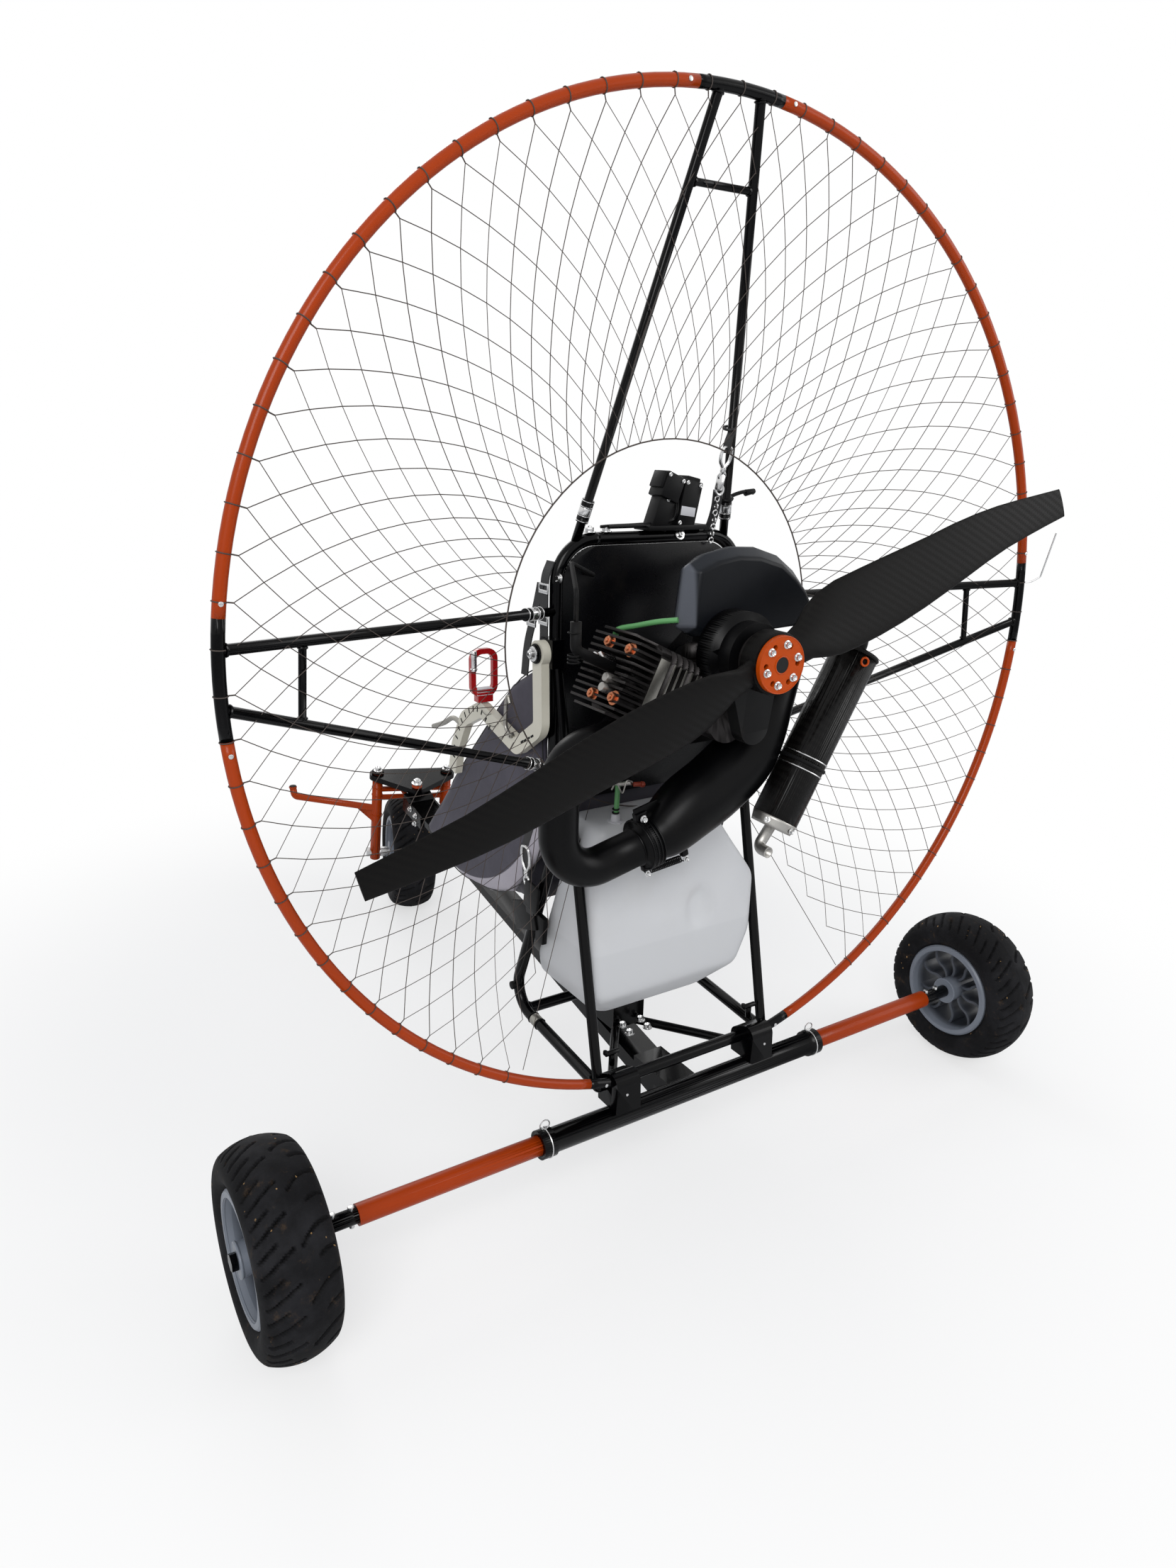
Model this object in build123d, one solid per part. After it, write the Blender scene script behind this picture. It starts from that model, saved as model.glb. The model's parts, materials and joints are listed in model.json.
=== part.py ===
"""Paramotor trike: a caged pusher engine with its seat on a three-wheeled undercarriage."""
import os
from math import atan2, cos, degrees, radians, sin, sqrt, tan

from build123d import *

# Millimetres. +X is the machine's right, +Y is ahead, +Z is up and the ground is at zero.
# The origin lies on the ground under the middle of the machine's overall length and width.

# Wheels
wheelbase = 1250.0
half_track = 715.0
middle_shift = 1.7
tyre_radius = 151.0
tyre_width = 108.0
tyre_shares = ((0.18, 0.93), (0.45, 1.0), (0.74, 0.9), (0.9, 0.66), (0.98, 0.36), (1.0, 0.12))
rim_radius = 86.0
rim_flange = 8.0
rim_lip = 12.0
rim_bevel = 3.0
rim_width = 98.0
rim_wall = 6.0
hub_radius = 24.0
hub_length = 104.0
spoke_count = 10
spoke_thickness = 5.0
spoke_depth = 52.0
spoke_bow = 7.0
spoke_root_share = 0.8
axle_pin_diameter = 16.0
nut_radius = 13.0
nut_height = 9.0

# Rear axle and keel
axle_tube_diameter = 40.0
axle_tube_half = 298.0
axle_collar_diameter = 47.0
axle_collar_length = 24.0
axle_slide_diameter = 32.0
axle_slide_insert = 70.0
slide_short = 117.0
stub_diameter = 24.0
stub_insert = 40.0
keel_width = 60.0
keel_depth = 30.0
keel_drop = 24.0
keel_front_lift = 31.6
keel_start = 58.0
keel_front_short = 146.0
neck_height = 24.0
neck_drop = 3.0
neck_reach = 120.0

# Steering
steer_rake = 11.0
steer_at_rest = -15.0
head_short = 116.5
head_lift = 52.0
head_length = 46.0
head_diameter = 42.0
steerer_diameter = 25.0
steerer_above = 22.0
fork_side_gap = 21.0
fork_leg_diameter = 26.0
leg_lift = 84.0
leg_below_axle = 18.0
clamp_thickness = 14.0
clamp_radius = 21.0
cross_tube_diameter = 14.0
cross_lifts = (35.0, 12.0)
yoke_half = 26.0
yoke_diameter = 11.0
lug_height = 12.0
lug_clearance = 1.0
peg_drop = 20.0
peg_reach = 205.0
peg_rise = 40.0
peg_diameter = 17.0
peg_tip = 22.0
peg_lean = 4.0
peg_bend = 12.0
gusset_height = 46.0
gusset_reach = 56.0
gusset_lift = 8.0
gusset_thickness = 5.0
cheek_reach = 70.0
cheek_lift = 4.0

# Frame, measured from the rear axle
frame_half = 176.0
frame_tube = 20.0
frame_ahead = 169.0
frame_shoulder = 66.0
shoulder_run = 6.0
upright_length = 508.0
frame_toe_ahead = 304.0
frame_toe_bend = 46.0
toe_rise = 24.0
frame_heel_ahead = 16.0
heel_above_axle = 57.0
strut_tube = 17.0
strut_drop = 163.0
panel_thickness = 4.0
panel_below_crank = 166.0
panel_corner = 60.0
bracket_ahead = 199.0
bracket_margin = 4.0
brace_tube = 16.0
brace_inset = 34.0
brace_ahead = 28.0
brace_lift = 30.0
clamp_wall = 8.0
box_plate = 8.0
box_depth = 42.0
box_left = -22.0
box_right = 92.0
# where it stands, its width, its height and its lean in degrees
control_boxes = ((-4.0, 34.0, 106.0, 30), (60.0, 40.0, 104.0, 14))

# Cage
hoop_radius = 720.0
hoop_above_axle = 54.6
hoop_ahead = 4.0
hoop_tilt = 0.86
hoop_tube = 16.0
top_above_centre = 142.4
joint_half_angle = 5.667
ladder_half_angle = 2.744
side_lift_angle = 1.438
spar_tube = 14.0
spar_rung_tube = 10.0
spar_rung_inset = 112.0
spar_sleeve = 19.0
spar_sleeve_length = 34.0
foot_inset = 32.0
foot_sink = 6.0
side_foot_drops = (106.0, 356.0)
stub_reach = 33.0
stub_inset = 48.0
hook_wire = 3.0
hook_reach = 34.0
hook_bend = 10.0
hook_lean = 18.0
hook_height = 80.0
hook_round = 6.0

# Engine, measured from the crankshaft
hub_drop = 3.6
belt_centres = 104.0
crank_x = 8.0
case_radius = 38.0
case_front = 62.0
case_rear = -34.0
neck_share = 0.8
tower_left = -18.0
tower_right = 36.0
tower_front = 31.0
tower_above_hub = 20.0
drum_radius = 62.0
drum_depth = 34.0
cover_depth = 24.0
cover_low_radius = 26.0
cover_high_radius = 50.0
cylinder_rise = 25.5
cylinder_ahead = 14.0
barrel_start = 58.0
fin_shares = (0.8, 0.87, 0.94, 1.0, 1.0, 1.0, 1.0, 1.0)
fin_pitch = 9.5
fin_thickness = 3.0
fin_height = 98.0
fin_length = 94.0
fin_corner = 14.0
barrel_core = 38.0
head_base = 16.0
head_ridges = 13
head_ridge_height = 34.0
boss_share = 0.3
plug_cap_diameter = 16.0
plug_cap_reach = 110.0
plug_cap_rise = 40.0
plug_cap_bend = 14.0
plug_well = 20.0
lead_diameter = 7.0
lead_bend = 14.0
# offsets from the top of the plug's cap, then the place on the panel below the top tube
lead_route = ((0.0, 0.0, 40.0), (32.0, 66.0, 70.0))
lead_end_x = -128.0
lead_end_drop = 50.0
mount_spread_x = 62.0
mount_low = 48.0
mount_high = 54.0
mount_diameter = 34.0
mount_plate = 8.0
airbox_left = -92.0
airbox_width = 250.0
airbox_lift = 12.0
airbox_height = 138.0
airbox_depth = 118.0
airbox_face = 26.0
airbox_inset = 24.0
airbox_cut = 40.0
airbox_toe = 28.0
airbox_round = 82.0
airbox_setback = 2.0
carb_diameter = 24.0
carb_length = 40.0
carb_slide_diameter = 18.0
carb_ahead = -8.0
carb_drop = 1.0

# Exhaust
header_diameter = 58.0
header_port = 40.0
header_behind = 4.0
header_out = 279.0
header_down = 222.0
header_shares = ((0.674, 0.063), (1.0, 0.126), (1.0, 1.0), (0.43, 0.833))
port_shares = ((0.3835, 0.027), (0.6885, 0.0658))
header_bends = (56.0, 60.0)
joint_diameter = 80.0
joint_length = 16.0
chamber_radius = 52.0
chamber_across = 276.0
chamber_rise = 288.0
# across, up, slope in degrees, radius
chamber_shares = (
    (0.0, 0.0, 13.1, 0.654), (0.25, 0.143, 32, 1.0), (0.609, 0.358, 44, 1.0),
    (0.778, 0.631, 60, 0.808), (0.928, 0.867, 62, 0.46), (1.0, 1.0, 62, 0.27))
silencer_diameter = 74.0
silencer_length = 293.0
silencer_lean = 29.6
silencer_x = 90.0
silencer_drop = 168.0
silencer_behind = 52.0
silencer_cap = 16.0
silencer_cap_share = 0.9
link_diameter = 26.0
link_reach = 44.0
link_bend = 30.0
tail_diameter = 18.0
tail_bore = 13.0
tail_bore_depth = 15.0
tail_drop = 50.0
tail_shift = 8.0
tail_turn = 26.0
tail_bend = 12.0

# Propeller
prop_tip_gap = 64.0
prop_angle = 18.0
prop_boss_radius = 45.0
prop_boss_depth = 30.0
prop_chord = 112.0
prop_thickness = 22.0
# distance from the hub's centre, chord, thickness, pitch in degrees
blade_shares = (
    (0.045, 0.42, 1.0, 12), (0.13, 0.5, 0.95, 30), (0.29, 0.88, 0.7, 27), (0.5, 1.0, 0.5, 20),
    (0.74, 0.9, 0.36, 14), (0.92, 0.7, 0.26, 11), (1.0, 0.54, 0.18, 10))
hub_plate_radius = 41.0
hub_plate_thickness = 8.0
hub_bore = 12.0
bolt_count = 6
bolt_radius = 29.0
bolt_bore = 4.0
flange_radius = 38.0
flange_length = 10.0
flange_gap = 6.4
shaft_diameter = 26.0

# Fuel
tank_side_gap = 14.0
tank_rear = 52.0
tank_depth = 211.0
tank_below_panel = 12.0
tank_height = 348.0
tank_round = 14.0
tank_shares = (
    (0.025, 1.0), (0.698, 1.0), (1.0, 0.598), (1.0, 0.287), (0.92, 0.109), (0.716, 0.0),
    (0.136, 0.0), (0.037, 0.057), (0.0, 0.167), (0.0, 0.885))
tank_heel_shares = (0.15, 0.13)
hose_diameter = 8.0
hose_bend = 18.0
hose_x = -116.0
hose_ahead = 78.0
# offsets from the fitting on the tank
hose_route = (
    (0.0, 0.0, 26.0), (-44.0, -22.0, 74.0), (-56.0, 8.0, 150.0), (-56.0, 8.0, 296.0), (-24.0, -72.0, 336.0))
hose_end_height = 44.0
hose_end_ahead = -16.0

# Seat and arms
back_inset = 16.0
back_height = 312.0
back_drop = 17.0
back_corner = 40.0
pad_thickness = 42.0
wing_thickness = 13.0
wing_length = 460.0
wing_height = 497.0
# ahead of the frame, below the arms' pivot
wing_shares = (
    (0.0, 0.028), (0.236, 0.145), (0.704, 0.569), (0.789, 0.662), (1.0, 0.869), (0.995, 0.905),
    (0.778, 0.986), (0.623, 1.0), (0.404, 0.972), (0.23, 0.911), (0.0, 0.672))
cushion_shares = (
    (0.106, 0.875), (0.154, 0.903), (0.371, 0.952), (0.589, 0.98), (0.741, 0.96), (0.928, 0.867),
    (0.906, 0.807), (0.545, 0.807), (0.262, 0.767), (0.106, 0.694))
arm_standoff = 29.0
arm_thickness = 14.0
arm_width = 27.0
arm_eye_radius = 20.0
arm_length = 308.0
arm_drop = 272.0
arm_shares = (
    (0.0, 0.0), (-0.013, 0.434), (0.221, 0.61), (0.623, 0.482), (0.838, 0.599), (0.955, 0.82), (1.0, 1.0))
arm_bends = (22.0, 18.0, 26.0, 40.0, 40.0)
pivot_ahead = 164.0
pivot_below_top = 167.0
pivot_pin = 16.0
pivot_head = 27.0
pivot_head_height = 6.0
arm_bracket_rear = 22.0
arm_bracket_half = 22.0
carabiner_wire = 9.0
carabiner_height = 82.0
carabiner_width = 50.0
carabiner_block_half = 14.0
carabiner_block_depth = 16.0
carabiner_round_shares = (0.9, 0.6)

# Clearances
gap = 0.3
running_gap = 6.0
overrun = 5.0

rear_axle_y = middle_shift - wheelbase / 2
front_axle_y = middle_shift + wheelbase / 2
wheel_top = 2 * tyre_radius
slide_end = half_track - slide_short
keel_front_y = front_axle_y - keel_front_short
keel_rear_top = tyre_radius - keel_drop
keel_slope = (wheel_top + keel_front_lift - keel_rear_top) / (keel_front_y - rear_axle_y)
rake_slope = tan(radians(steer_rake))
head_top = wheel_top + head_lift
fork_half = tyre_width / 2 + fork_side_gap + fork_leg_diameter / 2
fork_offset = (head_short - (head_top - tyre_radius) * rake_slope) * cos(radians(steer_rake))
front_axle_half = fork_half + fork_leg_diameter / 2 + nut_height
peg_level = wheel_top - peg_drop

hoop_y = rear_axle_y + hoop_ahead
hoop_centre = tyre_radius + hoop_above_axle + hoop_radius
tilt_slope = tan(radians(hoop_tilt))
frame_y = rear_axle_y + frame_ahead
frame_top = hoop_centre + top_above_centre
frame_knee = frame_top - upright_length
frame_heel = tyre_radius + heel_above_axle
frame_toe = frame_heel + toe_rise
top_bar_half = frame_half - frame_shoulder - shoulder_run
stub_start_x = frame_half + stub_reach
stub_end_x = frame_half - stub_inset

hub_height = hoop_centre - hub_drop
crank_height = hub_height - belt_centres
panel_bottom = crank_height - panel_below_crank
cover_y = rear_axle_y + case_rear - 2 * gap - drum_depth - cover_depth
prop_y = cover_y - flange_gap - flange_length - prop_boss_depth / 2
prop_radius = hoop_radius - hoop_tube / 2 - prop_tip_gap
barrel_length = len(fin_shares) * fin_pitch
exhaust_y = rear_axle_y - header_behind
tank_half = frame_half - tank_side_gap
tank_top = panel_bottom - tank_below_panel
tank_bottom = tank_top - tank_height
pivot_y = rear_axle_y + pivot_ahead
pivot_height = frame_top - pivot_below_top
arm_x = frame_half + arm_standoff
UP = (Align.CENTER, Align.CENTER, Align.MIN)


def tube(points, diameter, radius=0):
    """A round bar along straight runs, with arcs of the given radius at the corners."""
    path = Line(*points) if len(points) == 2 else FilletPolyline(*points, radius=radius)
    return sweep(Plane(origin=path @ 0, z_dir=path % 0) * Circle(diameter / 2), path=path)


def rod(start, end, diameter, end_diameter=0):
    """A straight bar or cone between two points."""
    run = Vector(*end) - Vector(*start)
    plane = Plane(origin=start, z_dir=run)
    if not end_diameter:
        return extrude(plane * Circle(diameter / 2), amount=run.length)
    cone = Cone(diameter / 2, end_diameter / 2, run.length, align=UP)
    return plane * cone


def box_between(low, high):
    """A block from its lowest to its highest corner."""
    size = [b - a for a, b in zip(low, high)]
    return Pos(*low) * Box(*size, align=(Align.MIN, Align.MIN, Align.MIN))


def across(face, start, depth):
    """A flat XZ shape made solid from y=start, ahead by depth."""
    return extrude(Plane.XZ.offset(-start) * face, amount=depth, dir=(0, 1, 0))


def along(face, start, depth):
    """A flat YZ shape made solid from x=start, to the right by depth."""
    return extrude(Plane.YZ.offset(start) * face, amount=depth, dir=(1, 0, 0))


def plate_across(outline, start, depth):
    """A closed XZ outline made solid from y=start, ahead by depth."""
    return across(make_face(outline), start, depth)


def plate_along(outline, start, depth):
    """A closed YZ outline made solid from x=start, to the right by depth."""
    return along(make_face(outline), start, depth)


def mirrored(shape):
    return mirror(shape, about=Plane.YZ)


def belt(*discs):
    """The outline stretched round discs, each given as its place and radius."""
    rings = [Pos(*place) * Circle(radius) for *place, radius in discs]
    return make_hull([ring.edge() for ring in rings])


def keel_top(y):
    """Height of the keel's upper face at a place along the machine."""
    return keel_rear_top + (y - rear_axle_y) * keel_slope


# Wheels, made about their own axle along Z and then laid across the machine
def make_rim():
    inner, flange, half = rim_radius - rim_wall, rim_radius + rim_flange, rim_width / 2
    edge = [
        (inner, half - rim_lip), (inner + rim_bevel, half), (flange - rim_bevel, half),
        (flange, half - rim_bevel), (flange, half - rim_lip), (rim_radius, half - rim_lip)]
    outline = Polyline(*edge, *[(r, -z) for r, z in reversed(edge)], close=True)
    rim = revolve(make_face(Plane.XZ * outline), axis=Axis.Z) + Cylinder(hub_radius, hub_length)
    turn = radians(360 / spoke_count)
    reach = rim_radius - rim_wall / 2
    start, end = Vector(hub_radius * spoke_root_share, 0), Vector(reach * cos(turn), reach * sin(turn))
    middle = (start + end) / 2
    path = Curve() + [SagittaArc(start, middle, spoke_bow), SagittaArc(middle, end, -spoke_bow)]
    start = Plane(origin=path @ 0, x_dir=(0, 0, 1), z_dir=path % 0)
    spoke = sweep(start * Rectangle(spoke_depth, spoke_thickness), path=path)
    rim = rim + [Rot(0, 0, degrees(i * turn)) * spoke for i in range(spoke_count)]
    return rim - Cylinder(axle_pin_diameter / 2 + gap, hub_length + overrun)


def make_tyre():
    bead = rim_width / 2 - rim_lip - gap
    seat, lip = rim_radius + gap, rim_radius + rim_flange + gap
    half = tyre_width / 2
    wall = [(seat, bead), (lip, bead)]
    wall += [(lip + (tyre_radius - lip) * height, half * width) for height, width in tyre_shares]
    outline = Polyline(*wall, *[(r, -z) for r, z in reversed(wall)], close=True)
    return revolve(make_face(Plane.XZ * outline), axis=Axis.Z)


def lay_wheel(shape, x, y):
    return Pos(x, y, tyre_radius) * Rot(0, 90, 0) * shape


def steer(shape):
    """Turns what the fork carries to the angle at which the machine stands."""
    head = Axis(head_point(head_top), Vector(0, -sin(radians(steer_rake)), cos(radians(steer_rake))))
    return shape.rotate(head, steer_at_rest)


def head_point(z):
    """The steering axis at a height."""
    return Vector(0, front_axle_y - head_short + (head_top - z) * rake_slope, z)


def fork_point(z):
    """The plane of the fork's legs at a height, with the wheel's centre on it."""
    return front_axle_y - (z - tyre_radius) * rake_slope


# Undercarriage
def make_keel():
    start, end = rear_axle_y + keel_start, keel_front_y
    outline = Polyline(
        (start, keel_top(start) - keel_depth), (end, keel_top(end) - keel_depth),
        (end, keel_top(end)), (start, keel_top(start)), close=True)
    beam = plate_along(outline, -keel_width / 2, keel_width)
    low = tyre_radius - neck_drop - neck_height / 2
    neck = box_between(
        (-keel_width / 2, rear_axle_y, low), (keel_width / 2, rear_axle_y + neck_reach, low + neck_height))
    return beam + neck - axle_bar(axle_tube_diameter + 2 * gap)


def axle_bar(diameter, start=-axle_tube_half, end=axle_tube_half):
    """A round bar on the rear axle's line between two places across the machine."""
    return rod((start, rear_axle_y, tyre_radius), (end, rear_axle_y, tyre_radius), diameter)


def make_axle_tube():
    body = axle_bar(axle_tube_diameter)
    inner, collar = axle_tube_half - axle_slide_insert - gap, axle_tube_half - axle_collar_length
    for side in (-1, 1):
        body += axle_bar(axle_collar_diameter, side * collar, side * axle_tube_half)
        body -= axle_bar(axle_slide_diameter + 2 * gap, side * inner, side * (axle_tube_half + overrun))
    return body


def make_axle_slides():
    right = axle_bar(axle_slide_diameter, axle_tube_half - axle_slide_insert, slide_end)
    right -= axle_bar(stub_diameter + 2 * gap, slide_end - stub_insert - gap, slide_end + overrun)
    return right + mirrored(right)


def make_stub_axles():
    inner, outer = half_track - hub_length / 2 - gap, half_track + hub_length / 2 + gap
    right = axle_bar(stub_diameter, slide_end - stub_insert, inner)
    right += axle_bar(axle_pin_diameter, inner - overrun, outer + nut_height)
    nut = Plane(origin=(outer, rear_axle_y, tyre_radius), z_dir=(1, 0, 0))
    right += extrude(nut * RegularPolygon(nut_radius, 6), amount=nut_height)
    return right + mirrored(right)


def hoop_point(x):
    """A place on the lower half of the cage's hoop."""
    drop = sqrt(hoop_radius ** 2 - x ** 2)
    return (x, hoop_y - drop * tilt_slope, hoop_centre - drop)


def clamp_block(grow):
    """The right clamp's solid block round the axle, the frame's corner and the hoop's stub."""
    inner, outer = stub_end_x - clamp_wall, frame_half - frame_tube / 2 - gap
    corner = (rear_axle_y + frame_heel_ahead, frame_heel)
    stub = hoop_point((inner + outer) / 2)[1:]
    wall = clamp_wall + grow
    ring, axle_ring = frame_tube / 2 + wall, axle_tube_diameter / 2 + wall
    outline = belt((rear_axle_y, tyre_radius, axle_ring), (*corner, ring), (*stub, ring))
    return along(outline, inner - grow, outer - inner + 2 * grow)


def make_axle_clamps():
    block = clamp_block(0) - axle_bar(axle_tube_diameter + 2 * gap)
    block = block - rear_cross(frame_tube + 2 * gap) - hoop_stub(hoop_tube + 2 * gap)
    return block + mirrored(block)


def hoop_arc(start, end, diameter):
    """The hoop's round tube between two angles, counted from +X towards the top."""
    arc = CenterArc((0, 0), hoop_radius, start, end - start)
    plane = Plane(origin=(0, hoop_y, hoop_centre), x_dir=(1, 0, 0), z_dir=(0, -1, tilt_slope))
    path = plane * arc
    return sweep(Plane(origin=path @ 0, z_dir=path % 0) * Circle(diameter / 2), path=path)


def ring_angle(x):
    """The hoop's angle at a place on its lower right."""
    return -degrees(atan2(sqrt(hoop_radius ** 2 - x ** 2), x))


def hoop_stub(diameter):
    return hoop_arc(ring_angle(stub_end_x), ring_angle(stub_start_x), diameter)


def make_hoop_stubs():
    right = hoop_stub(hoop_tube)
    return right + mirrored(right)


def make_hoop_arcs():
    """The four orange lengths of the hoop, by the side they stand on."""
    low, high = ring_angle(stub_start_x), 90 - joint_half_angle
    side_low, side_high = side_lift_angle - joint_half_angle, side_lift_angle + joint_half_angle
    upper = hoop_arc(side_high, high, hoop_tube)
    lower = hoop_arc(low, side_low, hoop_tube)
    return {
        "hoop_upper_right": upper, "hoop_upper_left": mirrored(upper),
        "hoop_lower_right": lower, "hoop_lower_left": mirrored(lower)}


def on_hoop(angle):
    radius = hoop_radius
    rise = radius * sin(radians(angle))
    return Vector(radius * cos(radians(angle)), hoop_y + rise * tilt_slope, hoop_centre + rise)


def ladder(middle_angle, feet):
    """A welded spar: a short length of hoop, two legs down to their feet and a rung."""
    body = hoop_arc(middle_angle - joint_half_angle, middle_angle + joint_half_angle, hoop_tube)
    rung = []
    for side, foot in zip((1, -1), feet):
        top = on_hoop(middle_angle + side * ladder_half_angle)
        body += rod(top, foot, spar_tube)
        run = (foot - top).normalized()
        sleeve_end = foot - run * spar_sleeve_length
        body += rod(sleeve_end - run * spar_sleeve_length, sleeve_end, spar_sleeve)
        rung.append(top + run * spar_rung_inset)
    return body + rod(rung[0], rung[1], spar_rung_tube)


def make_spars():
    foot_half, foot_height = frame_half - foot_inset, frame_top - foot_sink
    top = ladder(90, (Vector(-foot_half, frame_y, foot_height), Vector(foot_half, frame_y, foot_height)))
    feet = [Vector(frame_half, frame_y, frame_top - drop) for drop in side_foot_drops]
    keep_out = frame_side(frame_tube + 2 * gap, strut_tube + 2 * gap)
    right = ladder(side_lift_angle, feet) - keep_out
    top = top - keep_out - mirrored(keep_out)
    return {"spar_top": top, "spar_right": right, "spar_left": mirrored(right)}


def make_line_hook():
    start = on_hoop(side_lift_angle + ladder_half_angle)
    bend = start + Vector(hook_reach + hook_bend, -hook_bend, hook_bend)
    points = (
        start + Vector(hoop_tube / 2 - hook_wire / 2, 0, 0), start + Vector(hook_reach, 0, 0),
        bend, bend + Vector(0, -hook_lean, hook_height))
    hook = tube(points, hook_wire, hook_round)
    return hook - hoop_arc(-joint_half_angle, 2 * joint_half_angle, hoop_tube + 2 * gap)


# Chassis
def frame_side(diameter, strut_diameter):
    """The right side tube: shoulder, upright, knee, toe and heel, with its rear strut."""
    heel = (frame_half, rear_axle_y + frame_heel_ahead, frame_heel)
    points = (
        (top_bar_half, frame_y, frame_top), (frame_half, frame_y, frame_top),
        (frame_half, frame_y, frame_knee),
        (frame_half, rear_axle_y + frame_toe_ahead, frame_toe), heel)
    body = tube(points, diameter, (frame_shoulder, frame_shoulder, frame_toe_bend))
    strut = rod(heel, (frame_half, frame_y, frame_top - strut_drop), strut_diameter)
    return body + strut + Pos(*heel) * Sphere(diameter / 2)


def cross(y, z, diameter, half=frame_half):
    """A round bar across the machine."""
    return rod((-half, y, z), (half, y, z), diameter)


def rear_cross(diameter):
    return cross(rear_axle_y + frame_heel_ahead, frame_heel, diameter)


def toe_cross(diameter):
    return cross(rear_axle_y + frame_toe_ahead - frame_toe_bend, toe_level(), diameter)


def toe_level():
    """Height of the base tube where the front cross tube meets it."""
    share = (frame_toe_ahead - frame_toe_bend - frame_heel_ahead) / (frame_toe_ahead - frame_heel_ahead)
    return frame_heel + (frame_toe - frame_heel) * share


def make_cross_tubes(sides):
    bars = rear_cross(frame_tube) + toe_cross(frame_tube) + cross(frame_y, frame_knee, frame_tube)
    return bars + cross(frame_y, frame_top, frame_tube, top_bar_half - gap) - sides


def make_panel():
    half = frame_half - frame_tube / 2 - gap
    top = frame_top - frame_tube / 2 - gap
    middle = (top + panel_bottom) / 2
    sheet = Plane.XZ * Pos(0, middle) * RectangleRounded(2 * half, top - panel_bottom, panel_corner)
    return Pos(0, frame_y + panel_thickness / 2, 0) * extrude(sheet, amount=panel_thickness)


def make_keel_bracket():
    y = rear_axle_y + bracket_ahead
    front = rear_axle_y + frame_toe_ahead - frame_toe_bend + frame_tube
    low, half = keel_top(front) + gap, keel_width / 2 + bracket_margin
    base = box_between((-half, y - brace_tube, low), (half, front, toe_level()))
    start = (half / 2, y, keel_top(y) + gap + brace_tube)
    end = (frame_half - brace_inset, rear_axle_y + brace_ahead, tyre_radius + brace_lift)
    brace = rod(start, end, brace_tube) - clamp_block(gap)
    body = base + brace + mirrored(brace)
    return body - toe_cross(frame_tube + 2 * gap) - rear_cross(frame_tube + 2 * gap)


def make_control_boxes():
    """Two small boxes leaning on a bracket on the frame's top tube."""
    low = frame_top + frame_tube / 2 + gap
    body = box_between(
        (box_left, frame_y - box_depth / 2, low), (box_right, frame_y + box_depth / 2, low + box_plate))
    for x, width, height, lean in control_boxes:
        box = Box(width, box_depth - box_plate, height, align=UP)
        body += Pos(x, frame_y, low + box_plate / 2) * Rot(0, lean, 0) * box
    return body - box_between(
        (box_left, frame_y - box_depth, low - box_depth), (box_right + box_depth, frame_y + box_depth, low))


# Engine, with the cylinder made along its own Z and then laid to its slope
def on_cylinder(shape):
    plane = Plane(
        origin=(crank_x, rear_axle_y + cylinder_ahead, crank_height), x_dir=(0, 1, 0),
        z_dir=(-cos(radians(cylinder_rise)), 0, sin(radians(cylinder_rise))))
    return plane * shape


def tower_block(grow):
    """The block from the crank up to the propeller's shaft, larger by grow on every side."""
    return box_between(
        (tower_left - grow, rear_axle_y + case_rear - grow, crank_height),
        (tower_right + grow, rear_axle_y + tower_front + grow, hub_height + tower_above_hub + grow))


def make_crankcase():
    length = case_front - case_rear
    middle = rear_axle_y + (case_front + case_rear) / 2
    drum = Pos(crank_x, middle, crank_height) * Rot(90, 0, 0) * Cylinder(case_radius, length)
    foot = RectangleRounded(length * neck_share, 2 * case_radius * neck_share, fin_corner)
    return drum + on_cylinder(extrude(foot, amount=barrel_start - gap)) + tower_block(0)


def fin_face(share):
    return RectangleRounded(fin_length * share, fin_height * share, fin_corner)


def make_cylinder():
    body = Pos(0, 0, barrel_start) * Cylinder(barrel_core, barrel_length, align=UP)
    for i, share in enumerate(fin_shares):
        body += extrude(Pos(0, 0, barrel_start + i * fin_pitch) * fin_face(share), amount=fin_thickness)
    return on_cylinder(body)


def make_head():
    start = barrel_start + barrel_length + gap
    base = extrude(Pos(0, 0, start) * fin_face(1), amount=head_base)
    spacing = (fin_height - fin_thickness) / (head_ridges - 1)
    for i in range(head_ridges):
        place = -fin_height / 2 + fin_thickness / 2 + i * spacing
        inset = fin_corner if i in (0, head_ridges - 1) else 0
        ridge = Box(fin_length - 2 * inset, fin_thickness, head_ridge_height, align=UP)
        base += Pos(0, place, start + head_base - gap) * ridge
    base -= Pos(0, 0, start + head_base) * Cylinder(plug_well, head_ridge_height + overrun, align=UP)
    boss = Cylinder(plug_cap_diameter / 2 + gap, head_base + head_ridge_height * boss_share, align=UP)
    return on_cylinder(base + Pos(0, 0, start) * boss)


def crank_point(along_cylinder, side=0):
    """A place on the cylinder's axis, counted from the crankshaft."""
    lean = radians(cylinder_rise)
    return Vector(
        crank_x - along_cylinder * cos(lean), rear_axle_y + cylinder_ahead + side,
        crank_height + along_cylinder * sin(lean))


def plug_cap_line():
    start = barrel_start + barrel_length + head_base + head_ridge_height * boss_share + 2 * gap
    corner = crank_point(start + plug_cap_reach)
    return crank_point(start), corner, corner + Vector(0, 0, plug_cap_rise)


def make_plug_cap():
    return tube(plug_cap_line(), plug_cap_diameter, plug_cap_bend)


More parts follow.
